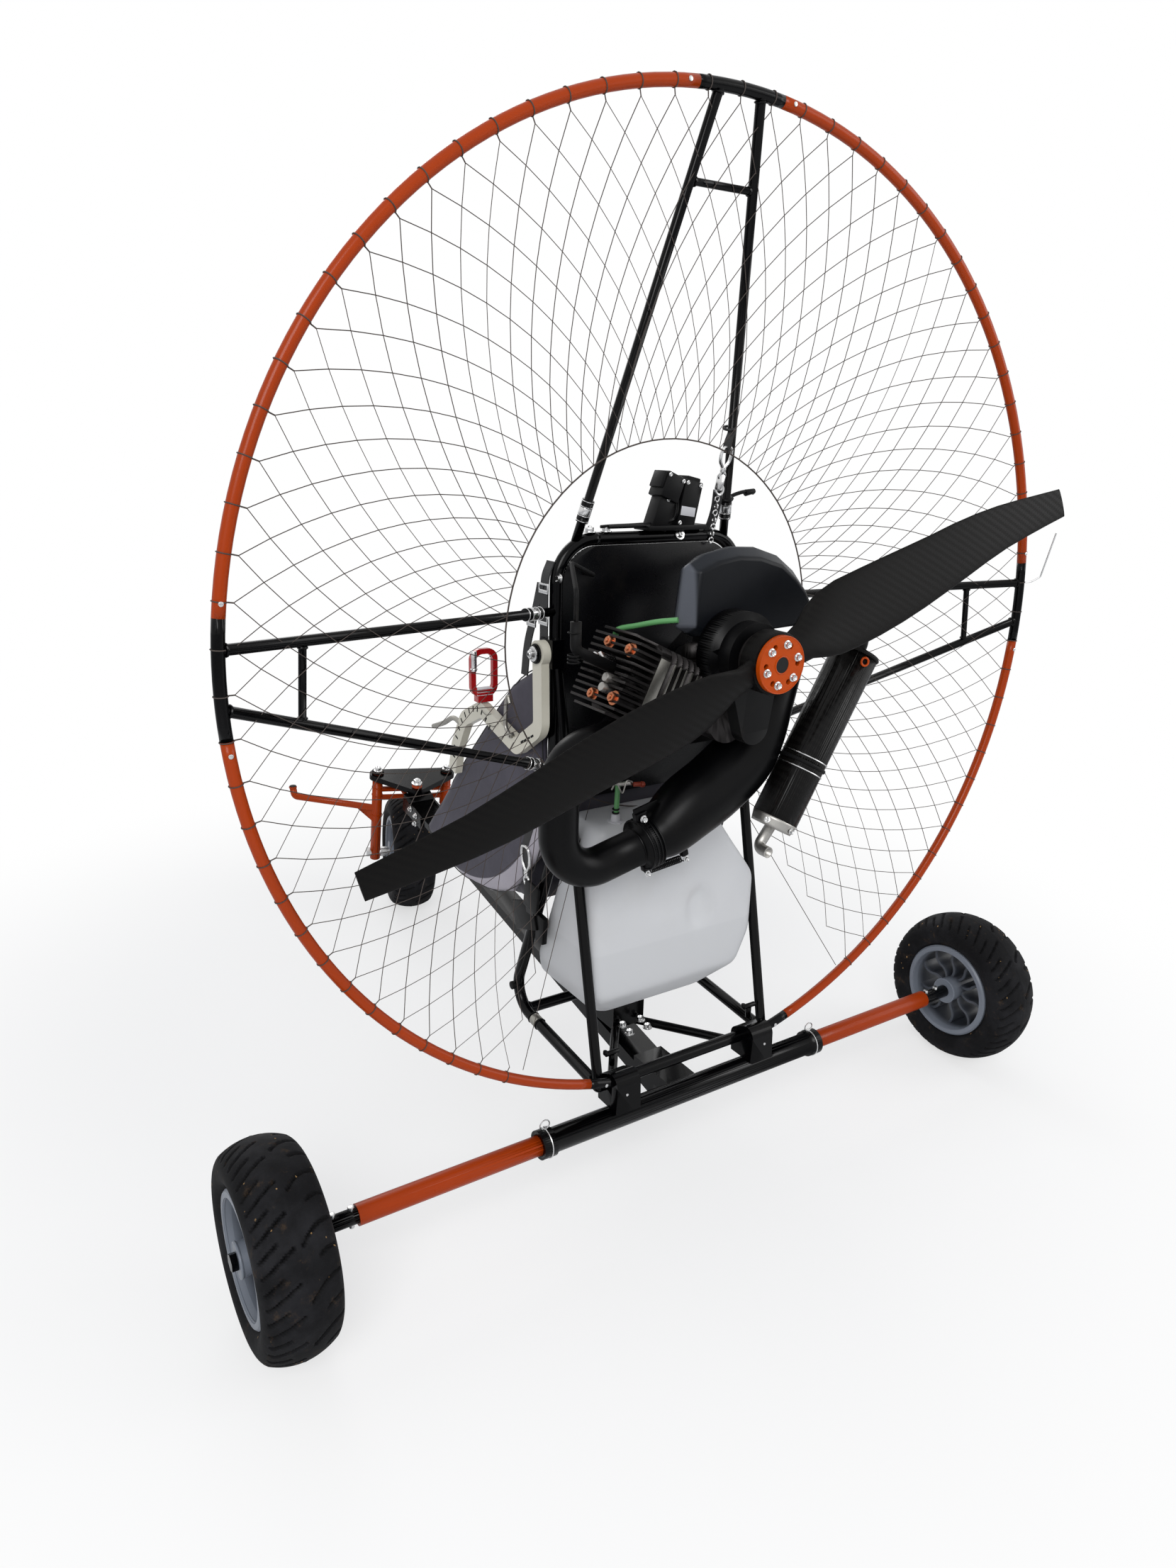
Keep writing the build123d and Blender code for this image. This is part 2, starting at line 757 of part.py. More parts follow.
def make_plug_lead():
    """The plug's lead, from its cap over to the back panel."""
    start = plug_cap_line()[-1] + Vector(0, 0, gap)
    end = Vector(lead_end_x, frame_y - panel_thickness / 2 - gap, frame_top - lead_end_drop)
    points = [start] + [start + Vector(*offset) for offset in lead_route]
    return tube(points + [end - Vector(0, 2 * lead_bend, 0), end], lead_diameter, lead_bend)


def make_engine_mounts():
    """Four rubber mounts with their plate, between the panel and the crankcase."""
    front = frame_y - panel_thickness / 2 - gap
    plate_y = rear_axle_y + case_front + gap
    levels = (crank_height - mount_low, crank_height + mount_high)
    half = mount_spread_x + mount_diameter / 2
    plate = box_between(
        (crank_x - half, plate_y, levels[0] - mount_diameter / 2),
        (crank_x + half, plate_y + mount_plate, levels[1] + mount_diameter / 2))
    for x in (crank_x - mount_spread_x, crank_x + mount_spread_x):
        for z in levels:
            plate += rod((x, plate_y + mount_plate / 2, z), (x, front, z), mount_diameter)
    return plate


def make_drum():
    start = rear_axle_y + case_rear - gap - drum_depth
    ring = Pos(0, start + drum_depth / 2, hub_height) * Rot(90, 0, 0) * Cylinder(drum_radius, drum_depth)
    return ring


def make_pulley_cover():
    outline = belt((0, hub_height, cover_high_radius), (crank_x, crank_height, cover_low_radius))
    bore = Pos(0, hub_height) * Circle(shaft_diameter / 2 + running_gap)
    return across(outline - bore, cover_y, cover_depth)


def airbox_face_outline(inset):
    """The airbox seen from behind, its edges drawn in by inset."""
    left, right = airbox_left + inset, airbox_left + airbox_width - inset
    low = hub_height + airbox_lift + inset
    high = hub_height + airbox_lift + airbox_height - inset
    turn = airbox_round * (1 - sin(radians(45)))
    edges = Polyline(
        (right, high - airbox_round), (right, low), (left + airbox_toe, low), (left, low + airbox_toe),
        (left, high - airbox_cut), (left + airbox_cut, high), (right - airbox_round, high))
    hump = ThreePointArc(
        (right - airbox_round, high), (right - turn, high - turn), (right, high - airbox_round))
    return make_face(edges + hump)


def make_airbox():
    rear = rear_axle_y + case_rear + airbox_setback
    body = across(airbox_face_outline(0), rear + airbox_face, airbox_depth - airbox_face)
    slope = loft([
        Plane.XZ.offset(-rear) * airbox_face_outline(airbox_inset),
        Plane.XZ.offset(-rear - airbox_face) * airbox_face_outline(0)], ruled=True)
    return body + slope - tower_block(gap)


def make_carburettor():
    """The carburettor between the tower and the airbox, with its slide upright."""
    y, z = rear_axle_y + carb_ahead, hub_height - carb_drop
    right = tower_left - gap
    body = rod((right - carb_length, y, z), (right, y, z), carb_diameter)
    x = right - carb_length / 2
    return body + rod((x, y, z), (x, y, hub_height + airbox_lift - gap), carb_slide_diameter)


def header_place(out, down):
    return Vector(crank_x - out * header_out, exhaust_y, crank_height - down * header_down)


def header_run():
    """The header's end and its direction there."""
    before, end = [header_place(*shares) for shares in header_shares[-2:]]
    return end, (end - before).normalized()


def make_header():
    port, throat = [header_place(*shares) for shares in port_shares]
    pipe = tube([header_place(*shares) for shares in header_shares], header_diameter, header_bends)
    pipe += rod(port, throat, header_port, header_diameter - gap)
    end, run = header_run()
    collar = rod(end - run * joint_length, end + run * overrun, joint_diameter)
    length = barrel_length + head_base + head_ridge_height + overrun
    keep_out = Pos(0, 0, barrel_start) * Rectangle(fin_length + 2 * gap, fin_height + 2 * gap)
    return pipe + collar - on_cylinder(extrude(keep_out, amount=length))


def chamber_sections():
    """The expansion chamber's round sections along its bent middle line: place, direction, radius."""
    end, run = header_run()
    start = end + run * (overrun + gap)
    for across_share, up_share, slope, radius_share in chamber_shares:
        place = start + Vector(across_share * chamber_across, 0, up_share * chamber_rise)
        yield place, Vector(cos(radians(slope)), 0, sin(radians(slope))), radius_share * chamber_radius


def make_chamber():
    sections = [Plane(origin=place, z_dir=run) * Circle(radius) for place, run, radius in chamber_sections()]
    return loft(sections, ruled=True)


def silencer_line():
    """The silencer's low end, high end and direction."""
    lean = radians(silencer_lean)
    low = Vector(crank_x + silencer_x, exhaust_y - silencer_behind, crank_height - silencer_drop)
    run = Vector(sin(lean), 0, cos(lean))
    return low, low + run * silencer_length, run


def make_silencer():
    low, high, run = silencer_line()
    return rod(low, high, silencer_diameter)


def make_silencer_end():
    """The end cap with its bent outlet."""
    low, high, run = silencer_line()
    low -= run * gap
    cap = rod(low - run * silencer_cap, low, silencer_diameter * silencer_cap_share, silencer_diameter)
    corner = low - run * tail_drop - Vector(tail_shift, 0, 0)
    mouth = corner - Vector(0, tail_turn, 0)
    tail = tube((low - run * silencer_cap / 2, corner, mouth), tail_diameter, tail_bend)
    return cap + tail - rod(mouth - Vector(0, overrun, 0), mouth + Vector(0, tail_bore_depth, 0), tail_bore)


def make_exhaust_link():
    """The bend from the chamber's thin end over into the top of the silencer."""
    low, high, run = silencer_line()
    *_, (place, slope, radius) = chamber_sections()
    start, end = place + slope * gap, high + run * gap
    return tube((start, start + slope * link_reach, end + run * link_reach, end), link_diameter, link_bend)


# Propeller, made flat with its blades along X
def blade_section(station, chord, thickness, pitch):
    """A flat-backed section across the blade at a distance from the hub."""
    plane = Plane(origin=(station, 0, 0), x_dir=(0, 0, 1), z_dir=(1, 0, 0))
    back = Line((-chord / 2, -thickness / 2), (chord / 2, -thickness / 2))
    front = ThreePointArc((chord / 2, -thickness / 2), (0, thickness / 2), (-chord / 2, -thickness / 2))
    return plane * Rot(0, 0, pitch) * make_face(Curve() + [back, front])


def make_propeller():
    blade = loft([
        blade_section(place * prop_radius, chord * prop_chord, thickness * prop_thickness, pitch)
        for place, chord, thickness, pitch in blade_shares])
    boss = Rot(90, 0, 0) * Cylinder(prop_boss_radius, prop_boss_depth)
    body = boss + blade + Rot(0, 180, 0) * blade
    body -= Rot(90, 0, 0) * Cylinder(hub_bore, prop_boss_depth + overrun)
    return Pos(0, prop_y, hub_height) * Rot(0, -prop_angle, 0) * body


def make_hub_plate():
    start = prop_y - prop_boss_depth / 2 - gap
    bolts = PolarLocations(bolt_radius, bolt_count) * Circle(bolt_bore)
    disc = Circle(hub_plate_radius) - Circle(hub_bore) - bolts
    return across(Pos(0, hub_height) * disc, start - hub_plate_thickness, hub_plate_thickness)


def make_prop_flange():
    start = prop_y + prop_boss_depth / 2 + gap
    disc = across(Pos(0, hub_height) * Circle(flange_radius), start, flange_length)
    return disc + rod((0, start, hub_height), (0, cover_y + cover_depth - gap, hub_height), shaft_diameter)


# Fuel
def make_tank():
    outline = Polyline(
        *[((2 * x - 1) * tank_half, tank_bottom + z * tank_height) for x, z in tank_shares], close=True)
    body = plate_across(outline, rear_axle_y + tank_rear, tank_depth)
    rear, front = rear_axle_y + tank_rear, rear_axle_y + tank_rear + tank_depth
    high = frame_y - frame_tube / 2 - gap
    heel_ahead, heel_up = tank_heel_shares
    side = Polyline(
        (rear, tank_bottom + heel_up * tank_height), (rear + heel_ahead * tank_depth, tank_bottom),
        (front, tank_bottom), (high, frame_knee - frame_tube / 2),
        (high, tank_top), (rear, tank_top), close=True)
    body = body & plate_along(side, -tank_half, 2 * tank_half)
    return fillet(body.edges(), tank_round)


def make_fuel_hose():
    """The fuel line from the tank's top to the carburettor's side of the airbox."""
    start = Vector(hose_x, rear_axle_y + hose_ahead, tank_top + gap)
    end = Vector(airbox_left - gap, rear_axle_y + hose_end_ahead, hub_height + hose_end_height)
    points = [start] + [start + Vector(*offset) for offset in hose_route] + [end]
    return tube(points, hose_diameter, hose_bend)


# Seat and arms
def seat_outline(shares):
    """A side view from shares ahead of the frame and below the arms' pivot."""
    start = frame_y + frame_tube / 2 + gap
    points = [(start + y * wing_length, pivot_height - z * wing_height) for y, z in shares]
    return Polyline(*points, close=True)


def make_seat_cushion():
    return plate_along(seat_outline(cushion_shares), -frame_half, 2 * frame_half)


def make_seat_back():
    start, half = frame_y + panel_thickness / 2 + gap, frame_half - back_inset
    top = pivot_height - back_drop
    body = box_between((-half, start, top - back_height), (half, start + pad_thickness, top))
    return fillet(body.edges().filter_by(Axis.Y), back_corner)


def make_wing(sides):
    """The harness's right side panel, seated against the frame's upright."""
    body = plate_along(seat_outline(wing_shares), frame_half + gap, wing_thickness)
    return fillet(body.edges().filter_by(Plane.YZ), wing_thickness / 3) - sides


def arm_points():
    return [Vector(arm_x, pivot_y + y * arm_length, pivot_height - z * arm_drop) for y, z in arm_shares]


def make_arm():
    path = FilletPolyline(*arm_points(), radius=arm_bends)
    start = Plane(origin=path @ 0, x_dir=(1, 0, 0), z_dir=path % 0)
    bar = sweep(start * Rectangle(arm_thickness, arm_width), path=path)
    face = arm_x - arm_thickness / 2
    bar += along(Pos(pivot_y, pivot_height) * Circle(arm_eye_radius), face, arm_thickness)
    bore = Pos(pivot_y, pivot_height) * Circle(pivot_pin / 2 + gap)
    return bar - along(bore, face - overrun, arm_thickness + 2 * overrun)


def make_arm_brackets(sides):
    inner, outer = arm_x - arm_thickness / 2 - 2 * gap, arm_x + arm_thickness / 2 + gap
    block = box_between(
        (frame_half, pivot_y - arm_bracket_rear, pivot_height - arm_bracket_half),
        (inner, frame_y + frame_tube / 2, pivot_height + arm_bracket_half))
    face = outer + pivot_head_height
    pin = rod((inner - gap, pivot_y, pivot_height), (face + gap, pivot_y, pivot_height), pivot_pin)
    head = rod((outer, pivot_y, pivot_height), (face, pivot_y, pivot_height), pivot_head)
    right = block + (pin + head) - sides
    return right + mirrored(right)


def make_carabiner():
    """The carabiner on its block, on the highest stretch of the right arm."""
    top = arm_points()[3]
    bottom = top.Z + arm_width / 2 + gap
    half = carabiner_width / 2 - carabiner_wire / 2
    outer, inner = [half * share for share in carabiner_round_shares]
    ring = RectangleRounded(carabiner_width, carabiner_height, outer) - RectangleRounded(
        carabiner_width - 2 * carabiner_wire, carabiner_height - 2 * carabiner_wire, inner)
    middle = bottom + carabiner_height / 2 + carabiner_wire
    loop = across(Pos(arm_x, middle) * ring, top.Y - carabiner_wire / 2, carabiner_wire)
    reach, height = carabiner_block_depth / 2, carabiner_wire + carabiner_block_half
    block = box_between(
        (arm_x - carabiner_block_half, top.Y - reach, bottom),
        (arm_x + carabiner_block_half, top.Y + reach, bottom + height))
    return loop + block


# Fork, made straight ahead and turned with its wheel
def fork_bars(leg_diameter, steerer):
    """The right leg, the left leg and the steerer as plain bars of the given diameters."""
    top, low = wheel_top + leg_lift, tyre_radius - leg_below_axle
    legs = [
        rod((side * fork_half, fork_point(top), top), (side * fork_half, fork_point(low), low), leg_diameter)
        for side in (1, -1)]
    high, low = head_top + steerer_above, head_top - head_length - lug_height
    return legs + [rod(head_point(high), head_point(low), steerer)]


def make_fork():
    right, left, steerer = fork_bars(fork_leg_diameter, steerer_diameter)
    low = head_top - head_length - gap
    levels = [wheel_top + lift for lift in cross_lifts]
    bars = [right, left, rod(head_point(low), head_point(low - lug_height), head_diameter)]
    for side in (-1, 1):
        base = Vector(side * fork_half, fork_point(peg_level), peg_level)
        tip = base + Vector(side * peg_reach, 0, peg_rise)
        web = Polyline(
            (base.X, base.Z - gusset_height), (base.X + side * gusset_reach, base.Z + gusset_lift),
            (base.X, base.Z), close=True)
        end = (side * yoke_half, fork_point(levels[0]), levels[0])
        bars += [
            tube((base, tip, tip + Vector(side * peg_lean, 0, peg_tip)), peg_diameter, peg_bend),
            plate_across(web, base.Y - gusset_thickness / 2, gusset_thickness),
            rod(head_point(low - lug_height / 2), end, yoke_diameter)]
    bars += [cross(fork_point(level), level, cross_tube_diameter, fork_half) for level in levels]
    body = Part()
    for bar in bars:
        body = body + bar
    body = body - rod(head_point(low), head_point(head_top), head_diameter + 2 * lug_clearance)
    pin = cross(front_axle_y, tyre_radius, axle_pin_diameter + 2 * gap, front_axle_half)
    return body + steerer - pin


def make_fork_clamp():
    """The black top plate that ties both legs to the steerer."""
    axis = Vector(0, -sin(radians(steer_rake)), cos(radians(steer_rake)))
    centre = head_point(head_top) + axis * 2 * gap
    plane = Plane(origin=centre, x_dir=(1, 0, 0), z_dir=axis)
    outline = belt(
        (0, 0, clamp_radius), (-fork_half, fork_offset, clamp_radius), (fork_half, fork_offset, clamp_radius))
    plate = extrude(plane * outline, amount=clamp_thickness)
    for bar in fork_bars(fork_leg_diameter + 2 * gap, steerer_diameter + 2 * gap):
        plate -= bar
    return plate


def make_front_axle():
    body = cross(front_axle_y, tyre_radius, axle_pin_diameter, front_axle_half)
    inner, outer = hub_length / 2 + gap, fork_half - fork_leg_diameter / 2 - gap
    for side in (-1, 1):
        body += rod(
            (side * inner, front_axle_y, tyre_radius), (side * outer, front_axle_y, tyre_radius),
            2 * nut_radius)
        place = (side * (front_axle_half - nut_height + gap), front_axle_y, tyre_radius)
        nut = Plane(origin=place, z_dir=(side, 0, 0)) * RegularPolygon(nut_radius, 6)
        body += extrude(nut, amount=nut_height)
    return body


def make_steering_head():
    low = head_top - head_length
    end = keel_front_y
    back = end - cheek_reach
    front = [(head_point(low).Y, low), (head_point(head_top).Y, head_top - gap)]
    outline = Polyline(
        (back, keel_top(back) - keel_depth), (end, keel_top(end) - keel_depth), *front,
        (end, keel_top(end) + cheek_lift), (back, keel_top(back)), close=True)
    cheek = plate_along(outline, keel_width / 2 + gap, gusset_thickness)
    core_half = keel_width / 2 + 2 * gap
    core = Polyline(
        (end + gap, keel_top(end) - keel_depth), *front, (end + gap, keel_top(end) + cheek_lift), close=True)
    body = rod(head_point(low), head_point(head_top), head_diameter)
    body += plate_along(core, -core_half, 2 * core_half)
    body += cheek + mirrored(cheek)
    return body - rod(head_point(low - overrun), head_point(head_top + overrun), steerer_diameter + 2 * gap)


os.makedirs("parts", exist_ok=True)
side_right = frame_side(frame_tube, strut_tube)
side_keep_out = frame_side(frame_tube + 2 * gap, strut_tube + 2 * gap)
both_sides = side_keep_out + mirrored(side_keep_out)
rim = make_rim()
tyre = make_tyre()
arm = make_arm()
carabiner = make_carabiner()
wing = make_wing(side_keep_out)

nodes = {
    "keel_beam": make_keel(),
    "keel_bracket": make_keel_bracket(),
    "axle_tube": make_axle_tube(),
    "axle_slides": make_axle_slides(),
    "stub_axles": make_stub_axles(),
    "axle_clamps": make_axle_clamps(),
    "frame_side_right": side_right,
    "frame_side_left": mirrored(side_right),
    "frame_cross_tubes": make_cross_tubes(both_sides),
    "back_panel": make_panel(),
    "control_boxes": make_control_boxes(),
    "hoop_stubs": make_hoop_stubs(),
    "line_hook": make_line_hook(),
    "crankcase": make_crankcase(),
    "cylinder": make_cylinder(),
    "cylinder_head": make_head(),
    "plug_cap": make_plug_cap(),
    "plug_lead": make_plug_lead(),
    "engine_mounts": make_engine_mounts(),
    "starter_drum": make_drum(),
    "pulley_cover": make_pulley_cover(),
    "airbox": make_airbox(),
    "carburettor": make_carburettor(),
    "exhaust_header": make_header(),
    "exhaust_chamber": make_chamber(),
    "silencer": make_silencer(),
    "silencer_end": make_silencer_end(),
    "exhaust_link": make_exhaust_link(),
    "propeller": make_propeller(),
    "hub_plate": make_hub_plate(),
    "prop_flange": make_prop_flange(),
    "fuel_tank": make_tank(),
    "fuel_hose": make_fuel_hose(),
    "seat_cushion": make_seat_cushion(),
    "seat_back": make_seat_back(),
    "harness_right": wing,
    "harness_left": mirrored(wing),
    "arm_brackets": make_arm_brackets(side_keep_out),
    "arm_right": arm,
    "arm_left": mirrored(arm),
    "carabiner_right": carabiner,
    "carabiner_left": mirrored(carabiner),
    "steering_head": make_steering_head(),
    "fork": steer(make_fork()),
    "fork_clamp": steer(make_fork_clamp()),
    "front_axle": steer(make_front_axle()),
    "rim_front": steer(lay_wheel(rim, 0, front_axle_y)),
    "tyre_front": steer(lay_wheel(tyre, 0, front_axle_y)),
}
nodes.update(make_hoop_arcs())
nodes.update(make_spars())
for side, name in ((-1, "left"), (1, "right")):
    nodes["rim_" + name] = lay_wheel(rim, side * half_track, rear_axle_y)
    nodes["tyre_" + name] = lay_wheel(tyre, side * half_track, rear_axle_y)

for name, shape in nodes.items():
    export_step(shape, "parts/" + name + ".step")
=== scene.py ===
import json
import math

import bmesh
import bpy
import numpy as np
from mathutils import Matrix, Vector


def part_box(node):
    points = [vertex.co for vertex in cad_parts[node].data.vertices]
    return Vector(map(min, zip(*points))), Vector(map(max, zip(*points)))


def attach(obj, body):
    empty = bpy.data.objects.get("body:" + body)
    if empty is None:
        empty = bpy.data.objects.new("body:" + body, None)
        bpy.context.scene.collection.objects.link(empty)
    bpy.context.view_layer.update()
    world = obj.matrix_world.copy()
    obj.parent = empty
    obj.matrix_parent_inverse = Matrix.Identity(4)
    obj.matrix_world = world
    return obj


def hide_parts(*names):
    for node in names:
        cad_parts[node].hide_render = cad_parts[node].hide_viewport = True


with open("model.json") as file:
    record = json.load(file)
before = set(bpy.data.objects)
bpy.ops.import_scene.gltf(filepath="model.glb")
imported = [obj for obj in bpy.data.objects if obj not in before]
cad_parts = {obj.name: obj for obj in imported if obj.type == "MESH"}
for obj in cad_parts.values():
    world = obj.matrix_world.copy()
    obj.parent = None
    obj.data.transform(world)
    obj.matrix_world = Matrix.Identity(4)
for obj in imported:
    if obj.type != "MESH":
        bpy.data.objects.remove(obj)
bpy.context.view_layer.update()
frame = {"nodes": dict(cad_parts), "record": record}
nodes = frame["nodes"]

MM = 0.001
REAR_AXLE = -623.3
TYRE_RADIUS = 151.0
X, Y, Z = Vector((1, 0, 0)), Vector((0, 1, 0)), Vector((0, 0, 1))


def at(x, y, z):
    """A place in millimetres, counted ahead from the rear axle, as metres in the row frame."""
    return Vector((x, y + REAR_AXLE, z)) * MM


class Value:
    """A shader socket that can be used in sums."""

    def __init__(self, finish, socket):
        self.finish, self.socket = finish, socket

    def __add__(self, other):
        return self.finish.math("ADD", self, other)

    def __radd__(self, other):
        return self.finish.math("ADD", other, self)

    def __sub__(self, other):
        return self.finish.math("SUBTRACT", self, other)

    def __rsub__(self, other):
        return self.finish.math("SUBTRACT", other, self)

    def __mul__(self, other):
        return self.finish.math("MULTIPLY", self, other)

    def __rmul__(self, other):
        return self.finish.math("MULTIPLY", other, self)

    def __truediv__(self, other):
        return self.finish.math("DIVIDE", self, other)

    def __pow__(self, other):
        return self.finish.math("POWER", self, other)


class Finish:
    """A material in the making, round one principled shader."""

    def __init__(self, name, **sockets):
        self.material = bpy.data.materials.new(name)
        self.material.use_nodes = True
        self.tree = self.material.node_tree
        self.shader = self.tree.nodes["Principled BSDF"]
        self.set(self.shader, sockets)
        self.place = self.node("ShaderNodeTexCoord", out="Object")

    def set(self, target, values):
        for key, value in values.items():
            socket = target.inputs[key.replace("_", " ") if isinstance(key, str) else key]
            if isinstance(value, Value):
                self.tree.links.new(value.socket, socket)
            else:
                socket.default_value = value

    def node(self, kind, settings=None, sockets=None, out=0):
        made = self.tree.nodes.new(kind)
        for key, value in (settings or {}).items():
            setattr(made, key, value)
        self.set(made, sockets or {})
        return Value(self, made.outputs[out])

    def math(self, operation, *values):
        return self.node("ShaderNodeMath", {"operation": operation}, dict(enumerate(values)))

    def noise(self, scale, detail=4.0, rough=0.55, place=None):
        return self.node("ShaderNodeTexNoise", None, {
            "Vector": place or self.place, "Scale": scale, "Detail": detail, "Roughness": rough})

    def step(self, value, low, high):
        """0 under low, 1 over high and smooth between."""
        return self.node("ShaderNodeMapRange", {"interpolation_type": "SMOOTHSTEP"}, {
            "Value": value, "From Min": low, "From Max": high})

    def mix(self, share, first, second):
        made = self.tree.nodes.new("ShaderNodeMix")
        made.data_type = "RGBA"
        self.set(made, {0: share, 6: first, 7: second})
        return Value(self, made.outputs[2])

    def axis(self, index, place=None):
        return self.node("ShaderNodeSeparateXYZ", None, {0: place or self.place}, out=index)

    def stretch(self, scale, turn=(0, 0, 0)):
        return self.node("ShaderNodeMapping", None, {"Vector": self.place, "Rotation": turn, "Scale": scale})

    def bump(self, height, strength, distance=0.001):
        return self.node(
            "ShaderNodeBump", None, {"Strength": strength, "Distance": distance, "Height": height})

    def done(self, **sockets):
        self.set(self.shader, sockets)
        return self.material


def shade(colour, factor):
    return tuple(min(1.0, c * factor) for c in colour[:3]) + (1.0,)


def srgb(r, g, b):
    """A display colour in 0 to 255 as the linear colour that the shader takes."""
    def line(c):
        c /= 255
        return c / 12.92 if c <= 0.04045 else ((c + 0.055) / 1.055) ** 2.4
    return line(r), line(g), line(b), 1.0


DUST = srgb(150, 138, 118)
THREAD_PITCH = 0.0013
BAND_CENTRE, BAND_RADIUS = (-0.1185, 0.7608), 0.341


def lacquer(name, colour, rough=0.16, coat=0.6, dust=0.25, level=0.5):
    """Glossy paint with a fine orange peel, dust in patches and rubbed spots."""
    f = Finish(name, Coat_Roughness=0.06, Specular_IOR_Level=level)
    film = f.step(f.noise(14, 6, 0.65), 0.52, 0.74) * (dust * 0.5)
    speck = f.step(f.noise(420, 2, 0.5), 0.66, 0.74) * (dust * 0.8)
    dirt = film + speck
    tone = f.mix(f.noise(5, 3), shade(colour, 0.86), shade(colour, 1.12))
    peel = f.noise(260, 2, 0.4)
    return f.done(
        Base_Color=f.mix(dirt, tone, DUST), Roughness=rough + dirt * 0.5 + f.noise(40, 5) * 0.05,
        Coat_Weight=coat - dirt * coat, Normal=f.bump(peel, 0.06, 0.0004))


def moulded(name, colour, rough=0.5, grain=900, dust=0.2, bump=0.15, level=0.4):
    """Moulded plastic or rubber with a fine grain and a little dust."""
    f = Finish(name, Specular_IOR_Level=level)
    dirt = f.step(f.noise(22, 6, 0.7), 0.5, 0.8) * dust
    tone = f.mix(f.noise(9, 4), shade(colour, 0.84), shade(colour, 1.16))
    return f.done(
        Base_Color=f.mix(dirt, tone, DUST), Roughness=rough + f.noise(60, 4) * 0.14 + dirt * 0.2,
        Normal=f.bump(f.noise(grain, 2, 0.5), bump, 0.0003))


def bare_metal(name, colour, rough=0.25, grain=(30, 30, 900), cast=0.0):
    """Turned, brushed or cast metal with small scratches and darker pits."""
    f = Finish(name, Metallic=1.0)
    lines = f.noise(1, 5, 0.6, f.stretch(grain))
    stain = f.step(f.noise(55, 5, 0.7), 0.5, 0.75)
    tone = f.mix(stain * 0.6, shade(colour, 1.05), shade(colour, 0.6))
    height = lines * (1 - cast) + f.noise(520, 3, 0.6) * cast
    return f.done(
        Base_Color=tone, Roughness=rough + lines * 0.18 + stain * 0.1,
        Normal=f.bump(height, 0.12 + 0.5 * cast, 0.0004))


def carbon(name, pitch=0.0042, rough=0.3, coat=0.7, turn=0.0):
    """Twill-woven carbon under clear resin."""
    f = Finish(name, Coat_Roughness=0.08, Specular_IOR_Level=0.1)
    place = f.stretch((1, 1, 1), (0, turn, 0))
    along, across = f.axis(0, place) / pitch, f.axis(2, place) / pitch
    over = f.step(f.math("FRACT", (along + f.math("FLOOR", across)) * 0.25), 0.48, 0.52)
    height = f.math("PINGPONG", across, 0.5) * over + f.math("PINGPONG", along, 0.5) * (1 - over)
    tone = f.mix(over * 0.7 + f.noise(30, 3) * 0.3, srgb(6, 5, 5), srgb(12, 11, 10))
    scuff = f.step(f.noise(70, 6, 0.7), 0.66, 0.84) * 0.06
    return f.done(
        Base_Color=f.mix(scuff, tone, DUST), Roughness=rough + scuff * 0.5 + over * 0.1, Coat_Weight=coat,
        Normal=f.bump(height, 0.12, 0.0004))


def cloth(name, colour, pitch=THREAD_PITCH, rough=0.85, sheen=0.15, wear=0.2):
    """Plain-woven nylon: raised threads both ways, faded where it rubs."""
    f = Finish(name, Sheen_Weight=sheen)
    threads = [f.math("PINGPONG", f.axis(index) / pitch, 0.5) for index in (0, 1, 2)]
    weave = threads[0] + threads[1] + threads[2]
    faded = f.step(f.noise(12, 5, 0.6), 0.45, 0.75) * wear
    tone = f.mix(faded, shade(colour, 0.9), shade(colour, 1.7))
    fold = f.noise(26, 4, 0.5)
    return f.done(
        Base_Color=f.mix(f.noise(700, 2) * 0.3, tone, shade(colour, 0.5)), Roughness=rough - faded * 0.2,
        Normal=f.bump(weave * 0.25 + fold, 0.35, 0.0012))


def banded_cloth(name, dark, light):
    """The side panel's cloth, charcoal with a pale lower band."""
    f = Finish(name, Sheen_Weight=0.08)
    ahead, up = f.axis(1) - BAND_CENTRE[0], f.axis(2) - BAND_CENTRE[1]
    band = f.step((ahead * ahead + up * up) ** 0.5, BAND_RADIUS - 0.001, BAND_RADIUS + 0.001)
    warp, weft = (f.math("PINGPONG", f.axis(index) / THREAD_PITCH, 0.5) for index in (1, 2))
    faded = f.step(f.noise(11, 5, 0.6), 0.4, 0.75) * 0.4
    tone = f.mix(band, f.mix(faded, dark, shade(dark, 1.9)), f.mix(faded, light, shade(light, 0.8)))
    return f.done(
        Base_Color=f.mix(f.noise(600, 2) * 0.2, tone, shade(dark, 0.6)), Roughness=0.82 - faded * 0.2,
        Normal=f.bump(warp * 0.2 + weft * 0.2 + f.noise(24, 5), 0.4, 0.0015))


